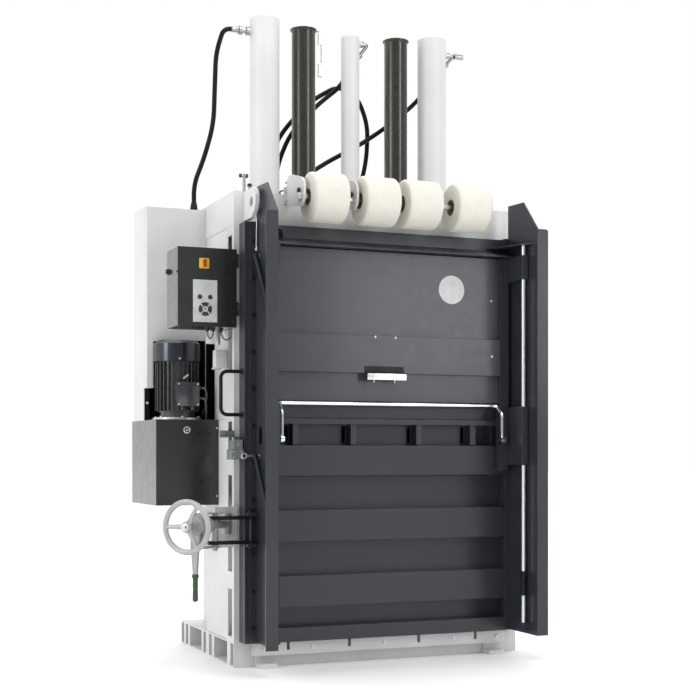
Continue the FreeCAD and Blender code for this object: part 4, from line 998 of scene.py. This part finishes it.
@dataclass
class ControlBox:
    """Keys, switch plate, screws, lid lock and cables of the control box."""

    switch: Point = (-0.848, -0.4805, 1.758)
    film_front: float = -0.4825
    key_reach: float = 0.0021
    round_keys: tuple[float, ...] = (-0.868, -0.822)
    round_rise: float = 1.613
    dial: tuple[float, float] = (-0.844, 1.561)
    arc_radii: tuple[float, float] = (0.0125, 0.0295)
    arc_half: float = math.radians(37)
    lock: Point = (-0.965, -0.335, 1.733)
    glands: tuple[float, ...] = (-0.811, -0.784, -0.748)

    def arc(self, shape: Shape, turn: float) -> None:
        """Add one bow-shaped key.

        Args:
            shape: The shape that takes it.
            turn: Angle of its middle, in radians.
        """
        steps = 12
        loop = []
        for radius, sign in zip(self.arc_radii, (1, -1)):
            for step in range(steps + 1):
                angle = turn + sign * self.arc_half * (2 * step / steps - 1)
                loop.append((self.dial[0] + radius * math.cos(angle), self.film_front,
                             self.dial[1] + radius * math.sin(angle)))
        shape.prism(loop, (0, -self.key_reach, 0))

    def panel(self) -> None:
        """Build the keys on the film, and the switch with the plate behind it."""
        keys = Shape()
        for across in self.round_keys:
            keys.turned((across, self.film_front, self.round_rise), FRONT,
                        [(0, 0.0102), (self.key_reach * 0.75, 0.0102), (self.key_reach, 0.0094),
                         (self.key_reach * 0.85, 0.006), (self.key_reach * 0.8, 0)])
        for quarter in range(4):
            self.arc(keys, quarter * math.pi / 2)
        keys.turned((self.dial[0], self.film_front - 0.0011, self.dial[1]), FRONT,
                    [(0, 0.0038), (0.0008, 0.0034), (0.0008, 0)], 20)
        keys.piece("film_keys", Look.KEYS, "key_film", Body.LID)
        Shape().plate(self.switch, 0.0225, 0.0015, 0.0066).piece(
            "switch_plate", Look.YELLOW, "knob_plastic", Body.LID)
        dial = Shape().turned(self.switch, FRONT,
                              [(-0.007, 0), (-0.007, 0.0058), (0.002, 0.0058), (0.002, 0.0185),
                               (0.0065, 0.018), (0.008, 0.016), (0.008, 0)], 48)
        dial.piece("switch_dial", Look.YELLOW, "knob_plastic", Body.KNOB, "switch_knob",
                   self.switch)
        across, front, rise = self.switch
        grip = Shape().block((across - 0.0062, front - 0.024, rise - 0.0165),
                             (across + 0.0062, front - 0.007, rise + 0.0165), 0.0026)
        grip.block((across - 0.0012, front - 0.0244, rise + 0.005),
                   (across + 0.0012, front - 0.023, rise + 0.0145), 0.0003)
        grip.piece("switch_grip", Look.RED, "knob_plastic", Body.KNOB, "switch_knob", self.switch)

    def fittings(self) -> None:
        """Build the lid's screws and its lock."""
        Shape().screws((-0.716,), self.switch[1], (1.788, 1.51), 0.0055).piece(
            "lid_screws", Look.BLACK_PLASTIC, "bare_steel", Body.LID)
        collar = Shape().ring(self.lock, LEFT, [(0, 0.0052), (0, 0.0145), (0.003, 0.0145),
                                                (0.004, 0.0135), (0.004, 0.0052)], 32)
        collar.piece("lid_lock_collar", Look.BLACK_PLASTIC, "bare_steel")
        knob = Shape().turned(self.lock, LEFT, [(0.0042, 0), (0.0042, 0.01), (0.008, 0.0112),
                                                (0.0125, 0.0112), (0.014, 0.01), (0.014, 0)], 28)
        knob.piece("lid_lock_knob", Look.BLACK_PLASTIC, "bare_steel")

    def cables(self) -> None:
        """Build the short cables under the box, with their glands, their box and their strip."""
        glands = Shape()
        for across in self.glands:
            glands.turned((across, -0.4, 1.487), DOWN,
                          [(0, 0.009), (0.005, 0.009), (0.006, 0.0075), (0.013, 0.0072),
                           (0.015, 0.0055), (0.015, 0)], 18)
        glands.piece("box_glands", Look.BLACK_PLASTIC, "hose_rubber")
        lines = Shape().tube([(-0.811, -0.4, 1.474), (-0.809, -0.4, 1.455), (-0.798, -0.4, 1.441),
                              (-0.787, -0.4, 1.455), (-0.784, -0.4, 1.474)], 0.0038)
        lines.tube([(-0.748, -0.4, 1.474), (-0.745, -0.4, 1.457), (-0.734, -0.4, 1.442),
                    (-0.718, -0.398, 1.44), (-0.699, -0.396, 1.452)], 0.0038)
        lines.piece("box_cables", Look.CABLE, "hose_rubber")
        joint = Shape().block((-0.757, -0.345, 1.318), (-0.7005, -0.3, 1.398), 0.003)
        joint.block((-0.755, -0.3475, 1.32), (-0.7025, -0.344, 1.396), 0.0015)
        joint.screws((-0.75, -0.7075), -0.3475, (1.326, 1.39), 0.0032)
        joint.piece("junction_box", Look.NYLON, "frame_paint")
        strip = Shape().block((-0.784, -0.436, 1.413), (-0.762, -0.432, 1.489), 0.001)
        strip.screw((-0.773, -0.436, 1.424), FRONT, 0.0045)
        strip.piece("box_strip", Look.ZINC, "bare_steel")

    def build(self) -> None:
        """Build every piece of the control box."""
        self.panel()
        self.fittings()
        self.cables()


@dataclass
class Motor:
    """Terminal lid, glands, cables, plate and bolts of the upright motor."""

    axis: tuple[float, float] = (-0.85, -0.04)
    lid_low: tuple[float, float] = (-0.89, 1.154)
    lid_high: tuple[float, float] = (-0.788, 1.26)
    lid_front: float = -0.193
    foot: float = 0.112
    foot_low: float = 1.092
    foot_high: float = 1.104
    bolt_circle: float = 0.0995
    fins: float = 0.101
    cowl: float = 0.107

    def outward(self, angle: float) -> Vector:
        """Give the direction away from the axis at an angle in degrees."""
        return Vector((math.cos(math.radians(angle)), math.sin(math.radians(angle)), 0))

    def spot(self, angle: float, radius: float, rise: float) -> Point:
        """Give the place at an angle in degrees, a distance from the axis and a height."""
        return tuple(Vector((*self.axis, rise)) + self.outward(angle) * radius)

    def terminal(self) -> None:
        """Build the terminal box's lid, its screws, its glands and two cables."""
        low, high, front = self.lid_low, self.lid_high, self.lid_front
        thick, rim, inset = 0.0035, 0.014, 0.007
        lid = Shape().block((low[0], front - thick, low[1]), (high[0], front, high[1]), 0.0012)
        lid.block((low[0] + rim, front - 0.0048, low[1] + rim),
                  (high[0] - rim, front - 0.003, high[1] - rim), 0.001)
        lid.piece("terminal_lid", Look.MOTOR, "motor_paint")
        screws = Shape().screws((low[0] + inset, high[0] - inset), front - thick,
                                (low[1] + inset, high[1] - inset), 0.0046)
        screws.piece("terminal_screws", Look.ZINC, "bare_steel")
        glands, lines = Shape(), Shape()
        for rise, points in ((1.236, ((-0.752, -0.16, 1.232), (-0.732, -0.12, 1.205),
                                      (-0.721, -0.05, 1.155), (-0.7185, 0.02, 1.108),
                                      (-0.7185, 0.036, 1.091))),
                             (1.19, ((-0.752, -0.16, 1.184), (-0.737, -0.13, 1.155),
                                     (-0.728, -0.1, 1.118), (-0.7265, -0.088, 1.091)))):
            glands.turned((-0.786, -0.166, rise), RIGHT,
                          [(0, 0.0115), (0.005, 0.0115), (0.006, 0.0095), (0.013, 0.009),
                           (0.017, 0.006), (0.017, 0)], 6)
            lines.tube([(-0.772, -0.166, rise), (-0.766, -0.166, rise), *points], 0.0042)
        glands.piece("terminal_glands", Look.BLACK_PLASTIC, "motor_paint")
        lines.piece("motor_cables", Look.CABLE, "hose_rubber")

    def body(self) -> None:
        """Build the bare foot ring, the bolts, the cowl's screws and the plain plate."""
        rim = self.foot + 0.0016
        ring = Shape().ring((*self.axis, self.foot_low), UP,
                            [(0.0004, self.foot), (0.0004, rim), (0.01, rim),
                             (0.0118, self.foot + 0.0004), (0.0123, self.foot - 0.003),
                             (0.0118, self.foot - 0.003)], 72)
        ring.piece("motor_foot_ring", Look.ZINC, "bare_steel")
        bolts = Shape()
        for angle in range(-150, 210, 60):
            bolts.bolt(self.spot(angle, self.bolt_circle, self.foot_high), UP, 0.014)
        for angle in (-98, 22, 142):
            bolts.screw(self.spot(angle, self.cowl - 0.0002, 1.37), self.outward(angle), 0.0045)
        bolts.piece("motor_bolts", Look.ZINC, "bare_steel")
        angle, tilt = -82, math.radians(35)
        middle = Vector(self.spot(angle, self.fins - 0.0012, 1.289))
        outward = self.outward(angle)
        across = Vector((-outward.y, outward.x, 0))
        long = across * math.cos(tilt) + Vector((0, 0, math.sin(tilt)))
        short = Vector((0, 0, math.cos(tilt))) - across * math.sin(tilt)
        corners = [middle + long * (0.016 * right) + short * (0.0045 * up)
                   for right, up in ((-1, -1), (1, -1), (1, 1), (-1, 1))]
        Shape().prism(corners, outward * 0.0025).piece("motor_plate", Look.BRUSHED, "bare_steel")

    def build(self) -> None:
        """Build every piece of the motor."""
        self.terminal()
        self.body()


@dataclass
class Cabinet:
    """Near-black sheets that paint the deep shade of the motor's niche, and the rear covers, lock
    and screws of the unit.
    """

    left: float = -0.964
    right: float = -0.704
    back: float = 0.188
    low: float = 1.0925
    high: float = 1.465
    sheet: float = 0.0013
    step: float = 1.242
    post: float = -0.912
    unit_front: float = -0.205
    unit_back: float = 0.2566
    cabinet_back: float = 0.2096
    cover_left: float = -0.986
    louvre_left: float = -0.93
    louvre_wide: float = 0.17
    louvre_pitch: float = 0.03
    disc: Point = (-0.85, -0.212, 1.045)

    def shade_lining(self) -> None:
        """Build the niche's near-black sheets, which are painted shade, its post, the black plate
        that paints the shade of a cut-out, the knob, and the black sheet that paints the shade of
        the gap between unit and wall.
        """
        # These near-black sheets are painted shade: they stand for the deep shade inside the niche
        # and in the gap between unit and wall.
        thin, high = self.sheet, self.high
        shade_lining = Shape().block((self.left, self.back - thin, self.low),
                               (self.right, self.back, high))
        for low, top in (((self.right - thin, 0, self.low), (self.right, self.back - thin, high)),
                         ((self.left, 0.011, self.step), (self.left + thin, self.back - thin, high)),
                         ((self.post, 0.002, high - thin),
                          (self.right - thin, self.back - thin, high)),
                         ((-0.6995, 0.146, self.low), (-0.6125, 0.15, high))):
            shade_lining.block(low, top)
        shade_lining.piece("niche_shade_lining", Look.SHADE_LINING, "black_steel")
        post = Shape().block((self.left - 0.001, -0.0006, self.step), (-0.9505, 0.186, high),
                             0.0004)
        post.block((-0.9508, -0.0006, 1.4568), (self.post, 0.186, high), 0.0004)
        post.piece("niche_post", Look.CHASSIS, "frame_paint")
        # Near-black plate over the cut-out below the post: painted shade.
        Shape().block((-0.9855, 0.0245, 1.093), (-0.9625, 0.026, 1.239)).piece(
            "niche_shade_plate", Look.SHADE_LINING, "black_steel")
        knob = Shape().turned((-0.975, 0.0245, 1.173), FRONT,
                              [(0, 0.0045), (0.003, 0.0048), (0.006, 0.0062), (0.009, 0.0058),
                               (0.01, 0)], 24)
        knob.piece("niche_knob", Look.NYLON, "bare_steel")

    def fasteners(self) -> None:
        """Build the unit's lock and the covers' screws."""
        lock = Shape().ring(self.disc, FRONT,
                            [(0, 0.0105), (0, 0.0165), (0.0012, 0.016), (0.002, 0.0145),
                             (0.002, 0.0115), (0.0012, 0.0105)])
        lock.turned(self.disc, FRONT, [(0, 0.008), (0.0014, 0.0078), (0.0014, 0)], 3, 0.5)
        lock.piece("unit_lock", Look.ZINC, "bare_steel")
        columns, radius = (-0.978, -0.712), 0.0045
        screws = Shape().screws((-0.708,), self.unit_front, (0.747, 1.055), radius)
        screws.screws(columns, self.unit_back, (0.722, 0.9, 1.076), radius, REAR)
        screws.screws(columns, self.cabinet_back, (1.12, 1.44, 1.75, 2.05), radius, REAR)
        screws.piece("unit_screws", Look.ZINC, "bare_steel")

    def cover(self, face: float, low: float, high: float, first: float, rows: int) -> Shape:
        """Make one rear cover with pressed louvres.

        Args:
            face: Depth of its outer face.
            low: Height of its lower edge.
            high: Height of its upper edge.
            first: Height of the lowest louvre.
            rows: Number of louvres.

        Returns:
            Its shape.
        """
        cover = Shape().block((self.cover_left, face - 0.002, low), (self.right, face, high),
                              0.0006)
        for row in range(rows):
            rise = first + row * self.louvre_pitch
            section = ((-0.0006, 0), (0.0054, -0.002), (0.0054, -0.0035), (-0.0006, -0.014))
            cover.prism([(self.louvre_left, face + out, rise + up) for out, up in section],
                        (self.louvre_wide, 0, 0))
        return cover

    def build(self) -> None:
        """Build every piece of the cabinet and the unit."""
        self.shade_lining()
        self.fasteners()
        self.cover(self.cabinet_back, 1.106, 2.064, 1.56, 9).piece(
            "cabinet_rear_cover", Look.CHASSIS, "frame_paint")
        self.cover(self.unit_back, 0.712, 1.087, 0.83, 6).piece(
            "unit_rear_cover", Look.DOOR, "door_paint")


@dataclass
class DoorGear:
    """Bolts, disc, pins and small parts of the door, its wings and the flap."""

    front: float = -0.515
    flap_face: float = -0.545
    band_face: float = -0.567
    wing_outer: float = 0.623
    disc: Point = (0.307, -0.545, 1.689)
    disc_radius: float = 0.065
    bar_left: float = -0.135
    bar_wide: float = 0.19
    lip_half: float = 0.6
    root_bolts: tuple[float, ...] = (0.18, 0.34, 0.5, 0.74, 0.9, 1.06, 1.22, 1.38, 1.54, 1.7, 1.86)

    def flap(self) -> None:
        """Build the flap's screws and its plain disc."""
        bolts = Shape().screws((-0.083, 0.016), self.band_face, (1.4585,), 0.0058)
        bolts.screw((0.512, self.flap_face, 1.646), FRONT, 0.006)
        bolts.screw((0.504, self.band_face, 1.387), FRONT, 0.006)
        bolts.piece("flap_bolts", Look.ZINC, "bare_steel", Body.FLAP)
        radius = self.disc_radius
        plain = Shape().turned(self.disc, FRONT, [(0, radius), (0.0004, radius - 0.0003),
                                                  (0.0005, radius - 0.004), (0.0005, 0)], 72)
        plain.piece("flap_disc", Look.STICKER, "door_paint", Body.FLAP)

    def handle(self) -> None:
        """Build the flap's handle: a dark bent bracket, a bare bar and two studs below it."""
        face, left = self.band_face, self.bar_left
        section = ((0, 1.304), (0, 1.328), (0.003, 1.328), (0.003, 1.3022), (0.0335, 1.2968),
                   (0.0335, 1.293), (0.002, 1.2982))
        bracket = Shape().prism([(left, face - out, rise) for out, rise in section],
                                (self.bar_wide, 0, 0))
        bracket.piece("handle_bracket", Look.BLACK, "flap_handle_metal", Body.FLAP, "flap_handle")
        bar = Shape().block((left, face - 0.0342, 1.266),
                            (left + self.bar_wide, face - 0.03, 1.2945), 0.0009)
        for across in (-0.103, -0.003):
            bar.turned((across, face - 0.0318, 1.267), DOWN,
                       [(0, 0.003), (0.009, 0.003), (0.0095, 0.0042), (0.013, 0.0042),
                        (0.014, 0.003), (0.014, 0)], 16)
            bar.screw((across, face - 0.0342, 1.279), FRONT, 0.0042)
        bar.piece("handle_bar", Look.BRUSHED, "flap_handle_metal", Body.FLAP, "flap_handle")

    def door(self) -> None:
        """Build the bolts of the wings' roots, the pins, the beam's lip and the stays' washers."""
        bolts, ends = Shape(), Shape()
        for side in (-1, 1):
            for rise in self.root_bolts:
                bolts.bolt((side * (self.wing_outer + 0.017), self.front - 0.006, rise), FRONT,
                           0.015)
            for rise in (1.79, 0.926):
                ends.turned((side * 0.6232, -0.553, rise), (side, 0, 0),
                            [(0, 0), (0, 0.01), (0.002, 0.01), (0.002, 0)], 24)
        bolts.piece("wing_bolts", Look.BLACK, "black_steel", Body.DOOR)
        pins = Shape().tube([(-0.77, -0.476, 1.306), (-0.812, -0.476, 1.306)], 0.0045)
        pins.turned((-0.6175, self.front - 0.0145, 0.929), RIGHT,
                    [(0, 0), (0, 0.0085), (0.004, 0.0085), (0.005, 0.006), (0.009, 0.008),
                     (0.014, 0.0095), (0.019, 0.008), (0.022, 0.004), (0.0225, 0)], 24)
        pins.piece("door_pins", Look.ZINC, "bare_steel", Body.DOOR)
        section = ((0, 1.884), (0.071, 1.856), (0.073, 1.852), (0.072, 1.8465), (0.034, 1.8465),
                   (0.034, 1.858))
        lip = Shape().prism([(-self.lip_half, self.front - out, rise) for out, rise in section],
                            (2 * self.lip_half, 0, 0))
        lip.piece("beam_lip", Look.DOOR, "door_paint", Body.DOOR)
        ends.piece("stay_washers", Look.ZINC, "bare_steel", Body.DOOR)

    def column(self) -> None:
        """Build the strip above the safety switch and the switch's screws."""
        strip = Shape().block((-0.766, -0.478, 1.009), (-0.685, -0.434, 1.013), 0.0006)
        strip.block((-0.766, -0.4385, 1.009), (-0.7, -0.4345, 1.04), 0.0006)
        strip.screw((-0.74, -0.4385, 1.026), FRONT, 0.0045)
        strip.piece("switch_strip", Look.SWITCH, "bare_steel")
        screws = Shape().screws((-0.726, -0.69), -0.515, (0.922, 0.948), 0.0035)
        screws.screw((-0.704, -0.511, 0.978), FRONT, 0.0035)
        screws.piece("switch_screws", Look.ZINC, "bare_steel")

    def build(self) -> None:
        """Build every small part of the door."""
        self.flap()
        self.handle()
        self.door()
        self.column()


@dataclass
class Head:
    """Flange bolts, couplings, ferrules, caps and soffits of the press head."""

    axis: float = -0.07
    flange_top: float = 2.112
    couplings: tuple[Point, ...] = ((-0.345, 0.046, 2.09), (-0.384, 0.082, 2.09),
                                    (0.112, 0.078, 2.09), (-0.24, 0.05, 2.09))
    boot: Point = (-0.73, 0.1, 2.075)
    barrel_end: Point = (-0.5632, -0.07, 2.915)
    short_post: Point = (-0.616, -0.398, 2.132)
    tee_end: Point = (-0.662, -0.398, 2.166)
    tee_wide: float = 0.036

    def flanges(self) -> None:
        """Build the bolts round the barrels' flanges."""
        bolts = Shape()
        for across, circle, count in ((-0.435, 0.0795, 8), (0, 0.0535, 6), (0.435, 0.0795, 8)):
            for cos, sin in turns(count, math.pi / count):
                bolts.bolt((across + circle * cos, self.axis + circle * sin, self.flange_top), UP,
                           0.0105, False)
        bolts.piece("flange_bolts", Look.ZINC, "bare_steel")

    def soffit(self) -> None:
        """Build the sheets under the head's overhang, beside the side walls."""
        sheets = Shape()
        for left, right in ((-0.698, -0.6125), (0.6125, 0.698)):
            sheets.block((left, -0.3215, 1.937), (right, 0.329, 1.94), 0.0005)
        sheets.piece("head_soffit", Look.CHASSIS, "frame_paint")

    def connections(self) -> None:
        """Build the coupling nuts, the hose ferrules and the boot of the left hose."""
        nuts, ferrules = Shape(), Shape()
        for across, depth, rise in self.couplings:
            nuts.turned((across, depth, rise), UP,
                        [(0, 0.0145), (0, 0.021), (0.0085, 0.021), (0.01, 0.0192),
                         (0.01, 0.0145)], 6, 0.3)
            ferrules.turned((across, depth, rise + 0.024), UP,
                            [(0.0002, 0.0112), (0.0002, 0.014), (0.004, 0.0146), (0.008, 0.0138),
                             (0.026, 0.0138), (0.029, 0.0146), (0.033, 0.014), (0.036, 0.0112)],
                            28)
        ferrules.turned(self.barrel_end, LEFT,
                        [(0.0002, 0.0112), (0.0002, 0.0145), (0.004, 0.015), (0.008, 0.0138),
                         (0.027, 0.0138), (0.031, 0.0146), (0.034, 0.014), (0.036, 0.0112)], 28)
        boot = Shape().ring(self.boot, UP,
                            [(0.0003, 0.0153), (0.0003, 0.0185), (0.003, 0.019), (0.024, 0.0176),
                             (0.05, 0.0135), (0.053, 0.0113), (0.0245, 0.0113), (0.0245, 0.0153)])
        boot.piece("hose_boot", Look.RUBBER, "hose_rubber")
        nuts.piece("coupling_nuts", Look.FITTING, "bare_steel")
        ferrules.piece("hose_ferrules", Look.FITTING, "bare_steel")

    def caps(self) -> None:
        """Build the caps of the short post and of the tee, and the small bent pipe on the deck."""
        caps = Shape().turned(self.short_post, UP, [(-0.012, 0.0061), (-0.012, 0.0105),
                                                    (-0.002, 0.0105), (0.001, 0.009), (0.001, 0)],
                              6)
        across, depth, rise = self.tee_end
        for end, way in ((across, LEFT), (across + self.tee_wide, RIGHT)):
            caps.turned((end, depth, rise), way,
                        [(-0.008, 0.0061), (-0.008, 0.009), (0.001, 0.009), (0.002, 0.0075),
                         (0.002, 0)], 6)
        caps.tube([(-0.474, -0.4, 2.088), (-0.474, -0.4, 2.106), (-0.462, -0.4, 2.113),
                   (-0.446, -0.4, 2.111), (-0.436, -0.4, 2.124), (-0.436, -0.4, 2.141),
                   (-0.447, -0.4, 2.152)], 0.0035)
        caps.piece("vent_caps", Look.BLACK_PLASTIC, "hose_rubber")

    def build(self) -> None:
        """Build every small part of the head."""
        self.flanges()
        self.soffit()
        self.connections()
        self.caps()


@dataclass
class Chassis:
    """Bolts, weld beads and side covers of the base, the sill and the columns."""

    sill_front: float = -0.48
    bolt_rise: float = 0.083
    bolt_places: tuple[float, ...] = (-0.575, -0.349, 0, 0.349, 0.575)
    cover: tuple[float, float] = (-0.6992, -0.697)
    bead_back: float = -0.3225
    welds: tuple[float, ...] = (0.342, 0.419, 0.545, 0.69, 0.844, 0.93, 1.08, 1.305, 1.507, 1.806)

    def build(self) -> None:
        """Build the covers, the bolts and the beads."""
        cover = Shape()
        for front, rear, low, high in ((-0.346, -0.012, 0.114, 1.092),
                                       (-0.346, -0.139, 1.09, 1.488),
                                       (-0.298, -0.002, 1.486, 1.829),
                                       (-0.346, -0.002, 1.827, 1.9365)):
            cover.block((self.cover[0], front, low), (self.cover[1], rear, high), 0.0004)
        cover.piece("side_cover", Look.CHASSIS, "frame_paint")
        bolts = Shape()
        thick = 0.0018
        for across in self.bolt_places:
            bolts.turned((across, self.sill_front, self.bolt_rise), FRONT,
                         [(-0.003, 0), (-0.003, 0.0068), (0, 0.0068), (0, 0.0105), (thick, 0.01),
                          (thick, 0)], 24)
            bolts.bolt((across, self.sill_front - thick, self.bolt_rise), FRONT, 0.014, False)
        bolts.piece("sill_bolts", Look.ZINC, "bare_steel")
        beads = Shape()
        for side in (-1, 1):
            for rise in self.welds:
                beads.bead((side * 0.6115, self.bead_back, rise),
                           (side * 0.699, self.bead_back, rise), 0.003)
        beads.piece("column_welds", Look.CHASSIS, "frame_paint")


# ------------------------------------------------------------------ studio

@dataclass
class Studio:
    """Pale floor, soft lights and the camera."""

    place: Point = (-2.4823, -6.1134, 0.935)
    heading: float = -22.11
    lens: float = 70.72
    rise: float = 0.1587
    reach: float = 60.0

    def floor(self) -> None:
        """Lay a pale floor."""
        graph = Graph("studio_floor")
        cloud = graph.spread(graph.noise(0.8, 3), 0, 1)
        colour = graph.blend(cloud, (0.9, 0.9, 0.9), (0.93, 0.93, 0.93))
        data = bpy.data.meshes.new("studio_floor")
        corners = [(self.reach * across, self.reach * depth, 0)
                   for across, depth in ((-1, -1), (1, -1), (1, 1), (-1, 1))]
        data.from_pydata(corners, [], [(0, 1, 2, 3)])
        data.materials.append(graph.wear_in(
            Base_Color=colour, Roughness=0.7,
            Normal=graph.relief(graph.noise(40, 3), 0.0004, 0.1)))
        stand("studio_floor", data)

    def surroundings(self) -> None:
        """Surround the floor with light, weaker on the camera's side and stronger overhead."""
        world = bpy.data.worlds.new("studio_light")
        world.use_nodes = True
        tree = world.node_tree
        back = tree.nodes["Background"]
        place = tree.nodes.new("ShaderNodeTexCoord")
        split = tree.nodes.new("ShaderNodeSeparateXYZ")
        total = tree.nodes.new("ShaderNodeMath")
        tree.links.new(place.outputs["Generated"], split.inputs[0])
        for index, (part, limits) in enumerate((("Y", (-0.9, 0.3, 0.31, 1)),
                                                ("Z", (0.45, 0.95, 0, 1.1)))):
            fade = tree.nodes.new("ShaderNodeMapRange")
            tree.links.new(split.outputs[part], fade.inputs["Value"])
            tree.links.new(fade.outputs["Result"], total.inputs[index])
            for name, value in zip(("From Min", "From Max", "To Min", "To Max"), limits):
                fade.inputs[name].default_value = value
        tree.links.new(total.outputs[0], back.inputs["Strength"])
        back.inputs["Color"].default_value = (1, 1, 1, 1)
        bpy.context.scene.world = world

    def light(self, name: str, place: Point, aim: Point, size: tuple[float, float],
              power: float) -> None:
        """Hang one soft light.

        Args:
            name: Its name.
            place: Where it hangs.
            aim: The point that it faces.
            size: Width and height of its face.
            power: Its power in watts.
        """
        data = bpy.data.lights.new(name, "AREA")
        data.shape = "RECTANGLE"
        data.size, data.size_y = size
        data.energy = power
        made = stand(name, data, place)
        made.rotation_euler = (Vector(aim) - Vector(place)).to_track_quat("-Z", "Y").to_euler()
        made.visible_camera = False

    def build(self) -> None:
        """Build the floor, the surrounding light, the lamps and the camera."""
        self.floor()
        self.surroundings()
        self.light("key_left", (-6, -1.8, 3.2), (0, 0, 1.3), (2, 3), 88)
        self.light("fill_front", (2.8, -6.2, 4.4), (0, 0, 1.8), (1.6, 1.8), 60)
        self.light("sheen_right", (3.2, -6.4, 2.2), (0.1, 0, 1.5), (2.2, 1.4), 40)
        self.light("top_front", (0.4, -3.4, 5.4), (0, -0.5, 1.2), (1.6, 1), 45)
        self.camera()

    def camera(self) -> None:
        """Stand the camera where the photograph was taken from."""
        data = bpy.data.cameras.new("camera")
        data.lens = self.lens
        data.sensor_width = 36
        data.shift_y = self.rise
        data.clip_end = 200
        camera = stand("camera", data, self.place)
        camera.rotation_euler = (math.radians(90), 0, math.radians(self.heading))
        bpy.context.scene.camera = camera
        settings = bpy.context.scene.view_settings
        settings.view_transform = "Standard"
        settings.look = "None"


def main() -> None:
    """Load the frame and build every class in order."""
    logging.basicConfig(level=logging.INFO, format="%(name)s %(message)s")
    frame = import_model()
    Studio().build()
    dress(frame["nodes"])
    for assembly in (Reels(), LockGear(), ControlBox(), Motor(), Cabinet(), DoorGear(), Head(),
                     Chassis()):
        assembly.build()


if __name__ == "__main__":
    main()
